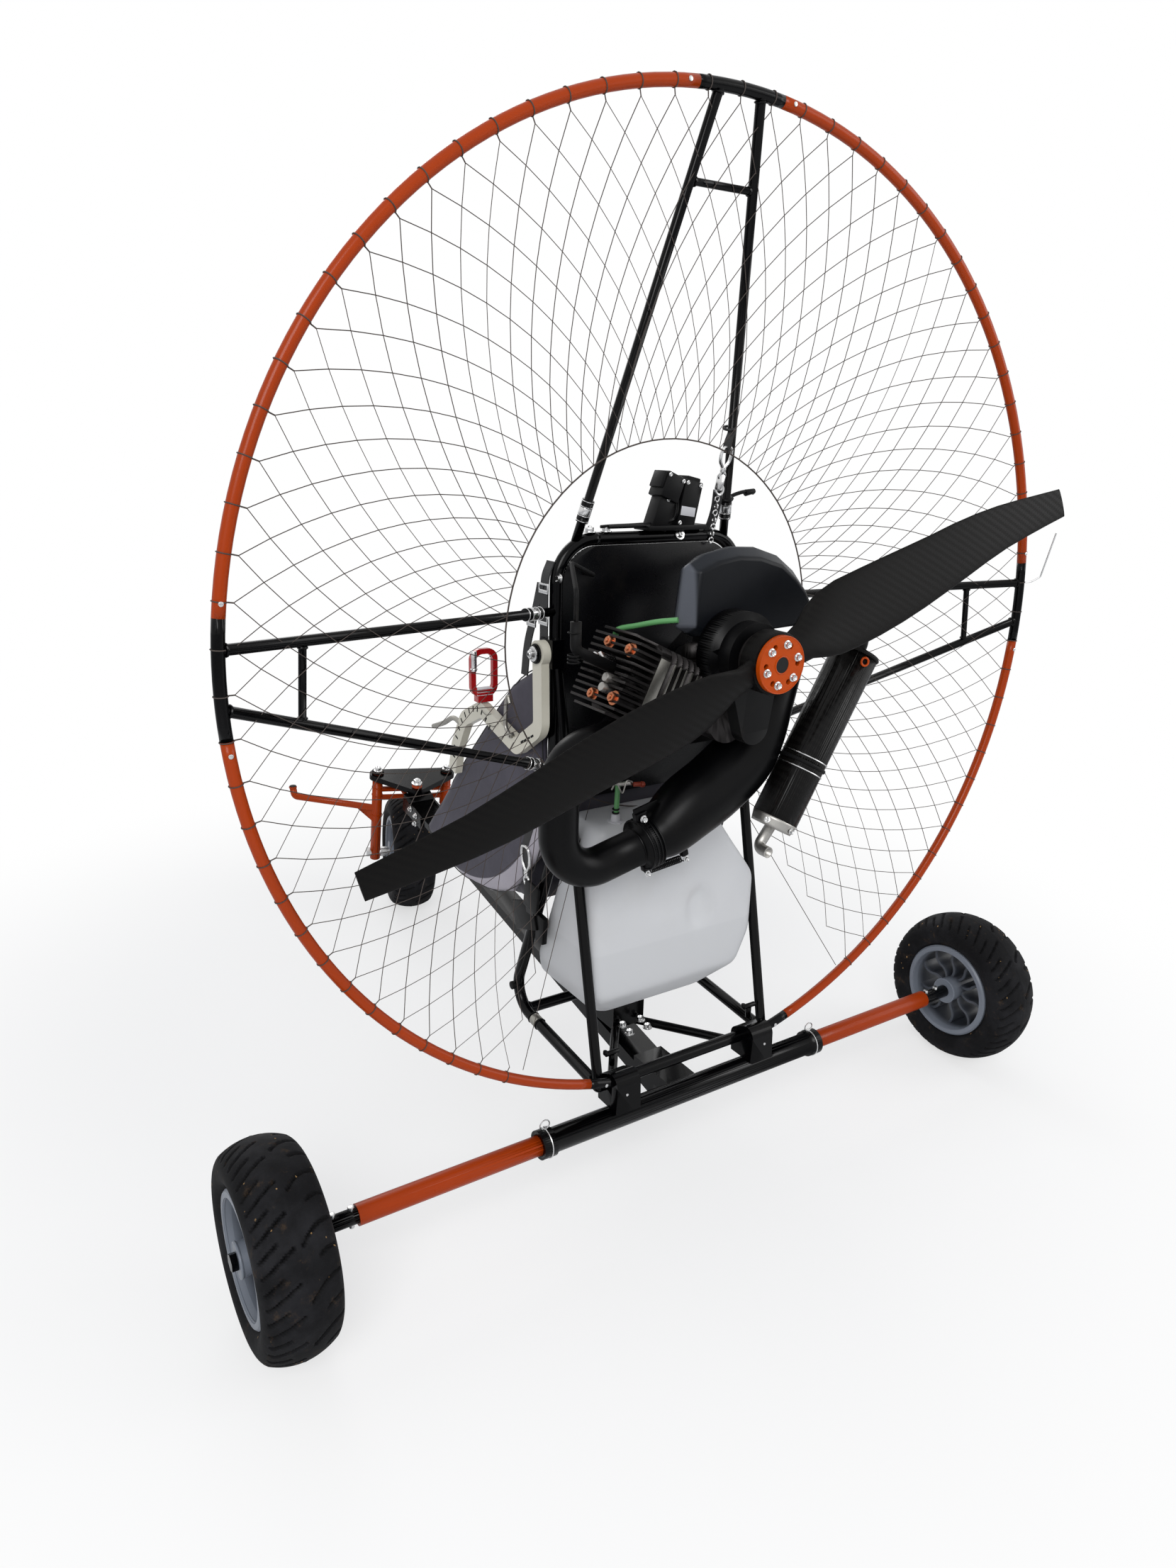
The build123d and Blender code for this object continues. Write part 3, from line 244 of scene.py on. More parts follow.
def tyre_rubber(name):
    """Worn black rubber with dried grass and earth caught on it, and painted shade in its grooves."""
    f = Finish(name, Specular_IOR_Level=0.12)
    worn = f.step(f.noise(8, 6, 0.65), 0.42, 0.7)
    # Painted shade: the tread's grooves are coloured near black, as if shaded
    painted_groove_shade = f.node("ShaderNodeAttribute", {"attribute_name": "painted_groove_shade"}, out="Fac")
    tone = f.mix(painted_groove_shade, f.mix(worn, srgb(13, 13, 15), srgb(30, 30, 33)), srgb(3, 3, 4))
    cells = f.node("ShaderNodeTexVoronoi", None, {
        "Vector": f.stretch((1, 1, 0.55)), "Scale": 95.0, "Randomness": 1.0})
    few = f.step(f.noise(30, 2), 0.56, 0.6)
    leaf = (1 - f.step(cells, 0.10, 0.16)) * few
    mud = f.step(f.noise(34, 8, 0.75), 0.55, 0.72) * 0.35
    return f.done(
        Base_Color=f.mix(leaf * 0.85, f.mix(mud, tone, srgb(92, 74, 56)), srgb(160, 128, 88)),
        Roughness=0.72 - worn * 0.14 + mud * 0.3 + f.noise(80, 4) * 0.1,
        Normal=f.bump(f.noise(620, 3, 0.6) + leaf, 0.3, 0.0006))


def rim_plastic(name, outer, inner):
    """Satin grey plastic, with painted shade making it darker deep down between the spokes."""
    f = Finish(name, Specular_IOR_Level=0.4)
    side = f.math("ABSOLUTE", f.axis(0))
    deep = f.math("ABSOLUTE", side - 0.715)
    # Painted shade: near the middle plane of each side wheel the rim takes the darker inner colour
    painted_well_shade = (1 - f.step(deep, 0.016, 0.044)) * f.step(side, 0.5, 0.6)
    tone = f.mix(f.noise(9, 4), shade(outer, 0.86), shade(outer, 1.12))
    return f.done(
        Base_Color=f.mix(painted_well_shade, tone, inner), Roughness=0.34 + f.noise(60, 4) * 0.12,
        Normal=f.bump(f.noise(420, 2, 0.5), 0.06, 0.0003))


def airbox_shell(name):
    """Satin slate plastic, with painted highlights making its left and upper bevels paler."""
    f = Finish(name, Specular_IOR_Level=0.15)
    # Painted highlights: the left facet and the faces ahead of the rear face are painted paler than the near
    # black rear face
    left = 1 - f.step(f.axis(0), -0.065, -0.060)
    top = f.step(f.axis(1), -0.657, -0.646)
    tone = f.mix(left, f.mix(top, srgb(5, 6, 9), srgb(30, 33, 38)), srgb(84, 87, 94))
    return f.done(
        Base_Color=f.mix(f.noise(18, 4) * 0.12, tone, srgb(46, 50, 57)),
        Roughness=0.34 + f.noise(60, 4) * 0.1,
        Normal=f.bump(f.noise(700, 2), 0.1, 0.0003))


def tank_wall(name):
    """Milky moulded plastic with the fuel's darker level showing through."""
    f = Finish(name, Subsurface_Weight=0.12, Subsurface_Radius=(0.02, 0.02, 0.02))
    fuel = 1 - f.step(f.axis(2), 0.418, 0.424)
    tone = f.mix(fuel * 0.25, srgb(198, 199, 201), srgb(182, 184, 186))
    stain = f.step(f.noise(7, 6, 0.65), 0.5, 0.8) * 0.12
    return f.done(
        Base_Color=f.mix(stain, tone, srgb(170, 166, 156)), Roughness=0.36 + f.noise(28, 4) * 0.12,
        Normal=f.bump(f.noise(90, 3), 0.08, 0.0006))


finishes = {
    "gloss_black": lacquer("black enamel", srgb(2, 2, 3), 0.16, 0.05, 0.01, 0.12),
    "orange_paint": lacquer("burnt orange enamel", srgb(156, 53, 4), 0.26, 0.06, 0.02, 0.15),
    "orange_anodised": lacquer("orange anodised alloy", srgb(180, 68, 6), 0.3, 0.03, 0.01, 0.15),
    "dark_panel": moulded("slate plastic", srgb(9, 10, 13), 0.4, 700, 0.02, level=0.2),
    "back_sheet": lacquer("black back sheet", srgb(4, 4, 6), 0.25, 0.0, 0.02, 0.2),
    "box_plastic": moulded("black box plastic", srgb(5, 5, 6), 0.36, 500, 0.01, level=0.15),
    "steel": bare_metal("bright steel", srgb(205, 205, 205), 0.16),
    "cast_alloy": bare_metal("dark cast alloy", srgb(52, 50, 50), 0.4, cast=0.7),
    "rubber": moulded("black rubber", srgb(8, 8, 9), 0.55, 500, 0.03, level=0.15),
    "black_metal": lacquer("satin black metal", srgb(4, 4, 5), 0.32, 0.0, 0.01, 0.12),
    "carbon": carbon("woven carbon", 0.0042, 0.3, 0.12),
    "blade_carbon": carbon("matt woven carbon", 0.0038, 0.45, 0.0, math.radians(18)),
    "tank_plastic": tank_wall("tank plastic"),
    "charcoal_cloth": cloth("charcoal nylon", srgb(52, 50, 60)),
    "arm_paint": lacquer("cream enamel", srgb(203, 199, 184), 0.32, 0.2, 0.2),
    "red_anodised": lacquer("red anodised alloy", srgb(170, 14, 18), 0.24, 0.4, 0.05),
    "rim_grey": rim_plastic("grey rim plastic", srgb(112, 118, 128), srgb(40, 43, 50)),
    "tyre": tyre_rubber("tyre rubber"),
    "green_hose": moulded("green hose", srgb(96, 158, 98), 0.24, 300, 0.05, 0.03),
    "aluminium": bare_metal("grey aluminium", srgb(168, 166, 162), 0.34, (60, 60, 60)),
    "webbing": cloth("black webbing", srgb(16, 16, 18), 0.0017, 0.7, 0.05, 0.2),
    "net": moulded("net cord", srgb(66, 58, 54), 0.7, 900, 0.1),
    "copper": bare_metal("coppery nut", srgb(190, 122, 88), 0.3),
    "alloy_edge": bare_metal("bare alloy", srgb(150, 148, 142), 0.3),
    "label": moulded("blank label", srgb(190, 190, 194), 0.4, 300, 0.1, 0.04),
    "side_cloth": banded_cloth("side panel nylon", srgb(54, 51, 63), srgb(176, 171, 180)),
    # Painted shade: a near black finish put in holes and slots in place of their shade
    "painted_hole_shade": moulded("dark inside", srgb(6, 6, 7), 0.8, 300, 0.0),
    "red_brown": moulded("red tap", srgb(150, 62, 44), 0.35, 300, 0.05),
    "airbox_slate": airbox_shell("airbox slate"),
}


def frame_to(axis, place=Vector()):
    """A matrix whose Z lies along the axis."""
    return Matrix.Translation(place) @ axis.normalized().to_track_quat("Z", "Y").to_matrix().to_4x4()


def finish_piece(name, bm, finish, body="airframe", angle=35):
    """Makes the bmesh a piece with its finish, on its body; edges sharper than the angle stay sharp."""
    bmesh.ops.remove_doubles(bm, verts=bm.verts, dist=1e-6)
    mesh = bpy.data.meshes.new(name)
    bm.to_mesh(mesh)
    bm.free()
    piece = bpy.data.objects.new(name, mesh)
    bpy.context.scene.collection.objects.link(piece)
    mesh.materials.append(finishes[finish])
    mesh.shade_smooth()
    mesh.set_sharp_from_angle(angle=math.radians(angle))
    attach(piece, body)
    return piece


def cylinder(bm, start, end, radius, end_radius=None, sides=20, bevel=0.0):
    """A bar or cone between two places."""
    run = end - start
    made = bmesh.ops.create_cone(
        bm, cap_ends=True, segments=sides, radius1=radius,
        radius2=radius if end_radius is None else end_radius,
        depth=run.length, matrix=frame_to(run, (start + end) / 2))["verts"]
    if bevel:
        rims = {
            e for v in made for e in v.link_edges if len(e.link_faces) == 2 and e.calc_face_angle(0) > 1.0}
        bmesh.ops.bevel(
            bm, geom=list(rims), offset=bevel, segments=2, profile=0.5, affect="EDGES", material=-1)
    return made


def block(bm, matrix, size, bevel=0.001):
    """A box with softened edges."""
    made = bmesh.ops.create_cube(bm, size=1.0, matrix=matrix @ Matrix.Diagonal((*size, 1)))["verts"]
    edges = {e for v in made for e in v.link_edges}
    bmesh.ops.bevel(bm, geom=list(edges), offset=bevel, segments=2, profile=0.5, affect="EDGES", material=-1)


def ring(bm, place, axis, radius, wire, steps=24, sides=8):
    """A wire ring."""
    turn = frame_to(axis, place)
    side = turn.to_3x3() @ X
    section = Matrix(((side.x, axis.x, 0, 0), (side.y, axis.y, 0, 0), (side.z, axis.z, 0, 0), (0, 0, 0, 1)))
    made = bmesh.ops.create_circle(
        bm, segments=sides, radius=wire, matrix=Matrix.Translation(place + side * radius) @ section)["verts"]
    edges = list({e for v in made for e in v.link_edges})
    bmesh.ops.spin(bm, geom=made + edges, cent=place, axis=axis.normalized(), angle=math.tau, steps=steps,
        use_merge=True)


def runs(bm, lines, radius, resolution=2, closed=False):
    """Round cords or wires along lists of places."""
    curve = bpy.data.curves.new("runs", "CURVE")
    curve.dimensions, curve.bevel_depth, curve.bevel_resolution = "3D", radius, resolution
    curve.use_fill_caps = True
    for line in lines:
        spline = curve.splines.new("POLY")
        spline.points.add(len(line) - 1)
        for point, place in zip(spline.points, line):
            point.co = (*place, 1)
        spline.use_cyclic_u = closed
    made = bpy.data.objects.new("runs", curve)
    mesh = bpy.data.meshes.new_from_object(made)
    bm.from_mesh(mesh)
    bpy.data.objects.remove(made)
    bpy.data.curves.remove(curve)
    bpy.data.meshes.remove(mesh)


def smooth_line(points, steps=8):
    """A Catmull-Rom line through the points."""
    p = [points[0] * 2 - points[1], *points, points[-1] * 2 - points[-2]]
    line = []
    for a, b, c, d in zip(p, p[1:], p[2:], p[3:]):
        for i in range(steps):
            t = i / steps
            line.append(0.5 * (
                (2 * b) + (c - a) * t + (2 * a - 5 * b + 4 * c - d) * t * t
                + (3 * b - a - 3 * c + d) * t ** 3))
    return line + [points[-1]]


def places(*rows):
    """Places in millimetres, as metres in the row frame."""
    return [at(*row) for row in rows]


def cord(bm, radius, resolution, steps, *rows):
    """One smooth round cord through places given in millimetres."""
    runs(bm, [smooth_line(places(*rows), steps)], radius, resolution)


def strap(bm, line, width, thickness=0.0016):
    """Flat webbing along a line, with its width given as a vector."""
    start = [bm.verts.new(line[0] - width / 2), bm.verts.new(line[0] + width / 2)]
    edge = bm.edges.new(start)
    faces = []
    for here, there in zip(line, line[1:]):
        made = bmesh.ops.extrude_edge_only(bm, edges=[edge])["geom"]
        verts = [v for v in made if isinstance(v, bmesh.types.BMVert)]
        edge = next(e for e in made if isinstance(e, bmesh.types.BMEdge))
        faces += [g for g in made if isinstance(g, bmesh.types.BMFace)]
        bmesh.ops.translate(bm, verts=verts, vec=there - here)
    bmesh.ops.solidify(bm, geom=faces, thickness=thickness)


def screw(bm, place, axis, radius, kind="hex", washer=True):
    """A bolt's head on a face: a hex or a socket cap, standing on its washer."""
    axis = axis.normalized()
    if washer:
        cylinder(bm, place, place + axis * radius * 0.22, radius * 1.45, sides=18, bevel=radius * 0.06)
    base = place + axis * radius * 0.2
    if kind == "hex":
        cylinder(bm, base, base + axis * radius * 0.9, radius, sides=6, bevel=radius * 0.08)
        cylinder(
            bm, base + axis * radius * 0.85, base + axis * radius * 1.25, radius * 0.5, radius * 0.44,
            sides=12, bevel=radius * 0.08)
        return
    made = cylinder(bm, base, base + axis * radius, radius, sides=18)
    top = max({f for v in made for f in v.link_faces}, key=lambda f: f.calc_center_median().dot(axis))
    bmesh.ops.inset_individual(bm, faces=[top], thickness=radius * 0.42)
    bmesh.ops.translate(bm, verts=top.verts, vec=-axis * radius * 0.6)


def screws(name, table, finish="steel", body="airframe"):
    """One piece of bolt heads, from rows of place, axis, radius and kind."""
    bm = bmesh.new()
    for place, axis, radius, kind in table:
        screw(bm, place, axis, radius, kind)
    finish_piece(name, bm, finish, body)


# Finishes on the plain nodes; some nodes look unlike the rest of their material slot
slots = {entry["node"]: entry["material_slot"] for entry in frame["record"]["subparts"]}
FINISH_OF = {
    "back_panel": "back_sheet", "control_boxes": "box_plastic", "airbox": "airbox_slate",
    "propeller": "blade_carbon",
    "pulley_cover": "box_plastic", "carburettor": "cast_alloy"}
for name, node in nodes.items():
    node.data.materials.clear()
    node.data.materials.append(finishes[FINISH_OF.get(name, slots[name])])


def dressed(name, bevel=0.0, angle=30, keep=None):
    """A node's own form with smooth faces and, where asked, softened edges."""
    bm = bmesh.new()
    bm.from_mesh(nodes[name].data)
    bmesh.ops.remove_doubles(bm, verts=bm.verts, dist=1e-6)
    if keep:
        keep(bm)
    body = next(b for b, group in frame["record"]["behaviour"]["bodies"].items() if name in group)
    piece = finish_piece(name + "_shown", bm, FINISH_OF.get(name, slots[name]), body, angle=angle)
    if bevel:
        edge = piece.modifiers.new("edge", "BEVEL")
        edge.width, edge.segments, edge.limit_method = bevel, 2, "ANGLE"
        edge.angle_limit = math.radians(angle)
        edge.harden_normals = False
    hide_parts(name)


def thin_keel(bm):
    """The keel as the flat bar that it is ahead of its neck."""
    top = {}
    for v in bm.verts:
        y = round(v.co.y, 4)
        top[y] = max(top.get(y, 0.0), v.co.z)
    for v in bm.verts:
        if v.co.y > at(0, 135, 0).y and v.co.z < top[round(v.co.y, 4)] - 0.012:
            v.co.z += 0.015


def upper_clamp(bm):
    """The clamps' lugs above the axle tube."""
    bmesh.ops.bisect_plane(
        bm, geom=bm.verts[:] + bm.edges[:] + bm.faces[:], plane_co=at(0, 0, 174), plane_no=Z,
        clear_inner=True)


for name in nodes:
    if name.startswith((
            "hoop_", "spar_", "frame_side", "exhaust_header", "exhaust_link", "plug_", "silencer", "arm_left",
            "arm_right", "carabiner")):
        dressed(name)
for name in ("axle_tube", "axle_slides", "stub_axles", "fork", "crankcase", "carburettor", "starter_drum"):
    dressed(name)
for name, bevel in (("pulley_cover", 0.0015), ("hub_plate", 0.0006), ("back_panel", 0.0008)):
    dressed(name, bevel)
dressed("keel_beam", keep=thin_keel)
dressed("axle_clamps", keep=upper_clamp)


def swept(bm, sections, sides=48):
    """A closed skin over oval sections: place, direction, two half sizes and the first one's side."""
    rings = []
    for place, run, wide, deep, side in sections:
        run = run.normalized()
        side = (side - run * side.dot(run)).normalized()
        other = run.cross(side)
        matrix = Matrix.Translation(place) @ Matrix((side * wide, other * deep, run)).transposed().to_4x4()
        made = bmesh.ops.create_circle(
            bm, segments=sides, radius=1.0, matrix=matrix,
            cap_ends=place in (sections[0][0], sections[-1][0]))["verts"]
        rings.append(list({e for v in made for e in v.link_edges}))
    for one, two in zip(rings, rings[1:]):
        bmesh.ops.bridge_loops(bm, edges=one + two)
    bmesh.ops.recalc_face_normals(bm, faces=bm.faces)


# Exhaust chamber, from the header's outlet: across, up, radius
start_x, start_z = 8 - 0.43 * 279, 818 - 0.833 * 222
chamber = [
    (start_x + 5 + a * 276, start_z + 1 + u * 288, r * 52) for a, u, r in (
        (0.0, 0.0, 0.66), (0.10, 0.045, 0.86), (0.25, 0.143, 1.0), (0.43, 0.235, 1.02), (0.609, 0.358, 1.0),
        (0.70, 0.48, 0.93),
        (0.778, 0.631, 0.808), (0.86, 0.757, 0.62), (0.928, 0.867, 0.46), (1.0, 1.0, 0.27))]
line = smooth_line([Vector(row) for row in chamber], 6)
sections = []
for i, row in enumerate(line):
    before, after = line[max(0, i - 1)], line[min(len(line) - 1, i + 1)]
    run = Vector((after[0] - before[0], 0, after[1] - before[1]))
    sections.append((at(row[0], -4, row[1]), run, row[2] * MM, row[2] * MM, Y))
bm = bmesh.new()
swept(bm, sections)
piece = finish_piece("chamber_shell", bm, "black_metal")
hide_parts("exhaust_chamber")

# Propeller: distance from the hub, sweep, chord, thickness, pitch
BLADE = (
    (24, 0, 50, 26, 20), (48, 2, 50, 25, 26), (66, 5, 56, 23, 28), (90, 9, 80, 18, 24), (115, 11, 96, 15, 20),
    (150, 12, 104, 13, 17), (200, 11, 105, 11.5, 15), (250, 11, 103, 10.5, 14), (300, 12, 98, 9.5, 14),
    (350, 14, 92, 8.8, 13),
    (400, 17, 86, 8, 13), (450, 19, 78, 7.2, 12), (500, 19, 69, 6.4, 12), (550, 16, 61, 5.6, 11),
    (600, 12, 53, 4.8, 10), (647, 8, 46, 4, 10))
PROPELLER_TILT = math.radians(18)
HUB_HEIGHT = 922
bm = bmesh.new()
for side in (1, -1):
    out = Vector((math.cos(PROPELLER_TILT), 0, math.sin(PROPELLER_TILT))) * side
    over = Vector((-math.sin(PROPELLER_TILT), 0, math.cos(PROPELLER_TILT))) * side
    sections = []
    for reach, sweep, chord, thick, pitch in BLADE:
        pitch = math.radians(pitch)
        chord_side = over * math.cos(pitch) + Y * math.sin(pitch)
        place = at(0, -124, HUB_HEIGHT) + (out * reach + over * sweep) * MM
        sections.append((place, out, chord * MM / 2, thick * MM / 2, chord_side))
    blade = bmesh.new()
    swept(blade, sections, 40)
    mesh = bpy.data.meshes.new("blade")
    blade.to_mesh(mesh)
    blade.free()
    bm.from_mesh(mesh)
    bpy.data.meshes.remove(mesh)
cylinder(bm, at(0, -139, HUB_HEIGHT), at(0, -109, HUB_HEIGHT), 0.045, sides=64, bevel=0.002)
piece = finish_piece("propeller_blades", bm, "blade_carbon", "propeller_set", angle=40)
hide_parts("propeller")
# Painted shade: a near black plug fills the hub's bore in place of the hole's shade
bm = bmesh.new()
cylinder(bm, at(0, -147.8, HUB_HEIGHT), at(0, -108, HUB_HEIGHT), 0.0117, sides=40)
finish_piece("hub_hole", bm, "painted_hole_shade", "propeller_set")

# Airbox: the moulded shell in four outlines from behind to the front
AIRBOX = (
    (-32, ((-64, 962), (-57, 1039), (-24, 1051), (11, 1056), (52, 1053), (96, 1040), (126, 1018), (148, 998),
    (160, 980), (156, 950), (60, 946), (-36, 946))),
    (-8, ((-83, 958), (-72, 1044), (-40, 1061), (10, 1070), (56, 1068), (102, 1054), (136, 1031), (156, 1008),
    (166, 984), (162, 944), (60, 942), (-50, 942))),
    (22, ((-62, 958), (-54, 1036), (-30, 1052), (10, 1062), (56, 1060), (98, 1048), (130, 1027), (149, 1004),
    (157, 982), (154, 946), (60, 944), (-40, 944))),
    (56, ((-36, 962), (-30, 1022), (-12, 1034), (16, 1042), (54, 1042), (88, 1032), (114, 1014), (128, 996),
    (134, 978), (132, 952), (58, 950), (-18, 950))))
bm = bmesh.new()
loops = []
for y, outline in AIRBOX:
    verts = [bm.verts.new(at(x, y, z)) for x, z in outline]
    loops.append([bm.edges.new(pair) for pair in zip(verts, verts[1:] + verts[:1])])
    if y in (AIRBOX[0][0], AIRBOX[-1][0]):
        bm.faces.new(verts)
for one, two in zip(loops, loops[1:]):
    bmesh.ops.bridge_loops(bm, edges=one + two)
bmesh.ops.recalc_face_normals(bm, faces=bm.faces)
piece = finish_piece("airbox_shell", bm, "airbox_slate", angle=24)
edge = piece.modifiers.new("edge", "BEVEL")
edge.width, edge.segments, edge.limit_method, edge.angle_limit = 0.004, 3, "ANGLE", math.radians(24)
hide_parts("airbox")

# Fuel hose behind the cylinder head
bm = bmesh.new()
cord(
    bm, 0.0042, 4, 8, (-116, 78, 641), (-114, 79, 662), (-108, 86, 700), (-104, 92, 750), (-104, 94, 800),
    (-98, 92, 850), (-104, 90, 900), (-122, 84, 935), (-128, 66, 948), (-116, 40, 956), (-100, 10, 965),
    (-82, -14, 970))
piece = finish_piece("fuel_hose_line", bm, "green_hose", angle=60)
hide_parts("fuel_hose")


def turned(x, y, z, angle=0.0, axis="X"):
    """A place in millimetres with a turn round an axis, in radians."""
    return Matrix.Translation(at(x, y, z)) @ Matrix.Rotation(angle, 4, axis)


def leaning(x, y, z, angle):
    """A place on the frame's boxes, leaned over by the angle in degrees."""
    return turned(x, y, z, math.radians(angle), "Y")


# Boxes on the frame's top tube
BOX_FOOT = leaning(12, 168, 1108, 20)
LEFT_BOX, RIGHT_BOX = leaning(24, 168, 1144, 22), leaning(57, 168, 1118, 12)
bm = bmesh.new()
block(bm, leaning(35, 169, 1082.5, 0), (0.114, 0.042, 0.008), 0.0012)
block(bm, BOX_FOOT, (0.030, 0.026, 0.058), 0.0015)
block(bm, LEFT_BOX, (0.036, 0.036, 0.040), 0.002)
block(bm, leaning(22, 168, 1150, 22), (0.038, 0.030, 0.026), 0.0012)
block(bm, RIGHT_BOX, (0.035, 0.038, 0.072), 0.002)
block(bm, leaning(66, 170, 1148, 12), (0.026, 0.030, 0.022), 0.002)
piece = finish_piece("switch_boxes", bm, "box_plastic")
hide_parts("control_boxes")

# Cage's hoop in millimetres, and its net: ties round it, rows of meshes and the open angles at the bottom
HOOP = 720.0
HOOP_CENTRE = 925.6
HOOP_LEAN = 0.015
NET_INNER = 290
NET_TIES = 84
NET_ROWS = 12
NET_GAP = (242.0, 298.0)


def net_place(row, step):
    """A knot of the net; every second row stands half a step on."""
    share = row / NET_ROWS
    turn = math.tau * (step + 0.5 * (row % 2)) / NET_TIES
    radius = (HOOP - 16) * (1 - share) + NET_INNER * share
    rise = radius * math.sin(turn)
    return at(radius * math.cos(turn), 4 + 116 * share + rise * HOOP_LEAN * (1 - share), HOOP_CENTRE + rise)


def hoop_place(angle, out=0.0, behind=0.0):
    """A place on the hoop's tube, further out or behind by the given millimetres."""
    turn = math.radians(angle)
    rise = HOOP * math.sin(turn)
    reach = HOOP + out
    return at(reach * math.cos(turn), 4 - behind + rise * HOOP_LEAN, HOOP_CENTRE + reach * math.sin(turn))


bm = bmesh.new()
lines = []
for step in range(NET_TIES):
    for way in (1, -1):
        line, here = [], step
        for row in range(NET_ROWS + 1):
            turn = (360 * (here + 0.5 * (row % 2)) / NET_TIES) % 360
            if NET_GAP[0] < turn < NET_GAP[1]:
                lines.append(line)
                line = []
            else:
                line.append(net_place(row, here))
            here += (way > 0) * (row % 2) - (way < 0) * (1 - row % 2)
        lines.append(line)
lines = [line for line in lines if len(line) > 1]
for step in (56.5, 69.5):
    lines.append([net_place(row, step - 0.5 * (row % 2)) for row in range(NET_ROWS + 1)])
runs(bm, lines, 0.0006, 0)
finish_piece("net", bm, "net")
bm = bmesh.new()
ties = []
for step in range(NET_TIES):
    turn = math.tau * step / NET_TIES
    if NET_GAP[0] < math.degrees(turn) < NET_GAP[1]:
        continue
    outer = hoop_place(math.degrees(turn))
    ties.append([net_place(0, step), outer])
    along = Vector((-math.sin(turn), 0, math.cos(turn)))
    ring(bm, outer, along, 0.0086, 0.0008, 14, 5)
runs(bm, ties, 0.0009, 0)
runs(bm, [[net_place(NET_ROWS, step) for step in range(NET_TIES)]], 0.0012, 1, closed=True)
finish_piece("net_ties", bm, "net")


def tyre_profile(bm):
    """The tyre's outline from bead to bead: three arcs, each through three places (radius, width)."""
    rim, lip, bead, side, half = 86.3, 94.3, 41.7, 119.8, 54.0
    shoulder, width, crown = 139.1, 44.3, TYRE_RADIUS
    outline = [(rim, -bead), (lip, -bead)]
    for *corners, steps in (
            ((lip, -bead), (side, -half), (shoulder, -width), 12),
            ((shoulder, -width), (crown, 0), (shoulder, width), 30),
            ((shoulder, width), (side, half), (lip, bead), 12)):
        a, b, c = (Vector((w, r, 0)) for r, w in corners)
        d = 2 * (a.x * (b.y - c.y) + b.x * (c.y - a.y) + c.x * (a.y - b.y))
        aa, bb, cc = a.length_squared, b.length_squared, c.length_squared
        ux = (aa * (b.y - c.y) + bb * (c.y - a.y) + cc * (a.y - b.y)) / d
        uy = (aa * (c.x - b.x) + bb * (a.x - c.x) + cc * (b.x - a.x)) / d
        centre = Vector((ux, uy, 0))
        first, last = math.atan2(a.y - uy, a.x - ux), math.atan2(c.y - uy, c.x - ux)
        middle = math.atan2(b.y - uy, b.x - ux)
        reach = (last - first) % math.tau
        if not 0 < (middle - first) % math.tau < reach:
            reach -= math.tau
        for i in range(1, steps + 1):
            turn, radius = first + reach * i / steps, (a - centre).length
            outline.append((uy + radius * math.sin(turn), ux + radius * math.cos(turn)))
    outline.append((rim, bead))
    verts = [bm.verts.new((w * MM, 0, r * MM)) for r, w in outline]
    for one, two in zip(verts, verts[1:]):
        bm.edges.new((one, two))


def tyre(name, node, body, matrix, turn=0.0):
    """The tyre spun from its profile, with its tread cut from a block pattern on each side."""
    bm = bmesh.new()
    tyre_profile(bm)
    bmesh.ops.spin(
        bm, geom=bm.verts[:] + bm.edges[:], cent=(0, 0, 0), axis=(1, 0, 0), angle=math.tau, steps=400,
        use_merge=True)
    bmesh.ops.recalc_face_normals(bm, faces=bm.faces)
    # A vertex layer that marks the grooves for their painted shade
    painted_groove_shade = bm.verts.layers.float.new("painted_groove_shade")
    for v in bm.verts:
        radius = math.hypot(v.co.y, v.co.z)
        if radius < 0.112:
            continue
        across = v.co.x / 0.054
        turn_share = math.atan2(v.co.z, v.co.y) / math.tau + turn
        side = 1 if across > 0 else -1
        reach = abs(across)
        count = 42 if side < 0 else 26
        bend = 0.9 * reach + (0.35 * math.sin(reach * 3.0) if side > 0 else 0.2 * reach * reach)
        phase = turn_share * count + side * bend * count / 30
        place = phase % 1.0
        odd = int(math.floor(phase)) % 2
        inner = 0.42 if odd else 0.06
        fade = min(1.0, max(0.0, (reach - inner) / 0.05)) * min(1.0, max(0.0, (0.93 - reach) / 0.04))
        cut = max(0.0, 1 - abs(place - 0.5) / (0.13 if side < 0 else 0.1))
        depth = 0.0036 * min(1.0, cut * 1.8) * fade
        v[painted_groove_shade] = min(1.0, cut * 2.2) * fade
        line = 0.0004 * max(0.0, 1 - abs(across) / 0.03)
        share = 1 - (depth - line) / radius
        v.co.y *= share
        v.co.z *= share
    bmesh.ops.transform(bm, matrix=matrix, verts=bm.verts)
    for v in bm.verts:
        v.co.z = max(v.co.z, 0.0)
    piece = finish_piece(name, bm, "tyre", body, angle=28)
    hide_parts(node)


RAKE = math.radians(11)
steer_axis = Vector((0, -math.sin(RAKE), math.cos(RAKE)))
head_place = at(0, 1133.5, 354)
steer = (
    Matrix.Translation(head_place) @ Matrix.Rotation(math.radians(-15), 4, steer_axis)
    @ Matrix.Translation(-head_place))
WHEELS = (
    ("left", at(-715, 0, TYRE_RADIUS), Matrix(), 0.0), ("right", at(715, 0, TYRE_RADIUS), Matrix(), 0.4),
    ("front", at(0, 1250, TYRE_RADIUS), steer, 0.7))
for label, place, matrix, turn in WHEELS:
    tyre(f"tyre_{label}_tread", "tyre_" + label, "wheel_" + label, matrix @ Matrix.Translation(place), turn)


def apply(piece):
    """Makes the piece's modifiers part of its mesh."""
    made = bpy.data.meshes.new_from_object(piece.evaluated_get(bpy.context.evaluated_depsgraph_get()))
    piece.modifiers.clear()
    old = piece.data
    piece.data = made
    bpy.data.meshes.remove(old)


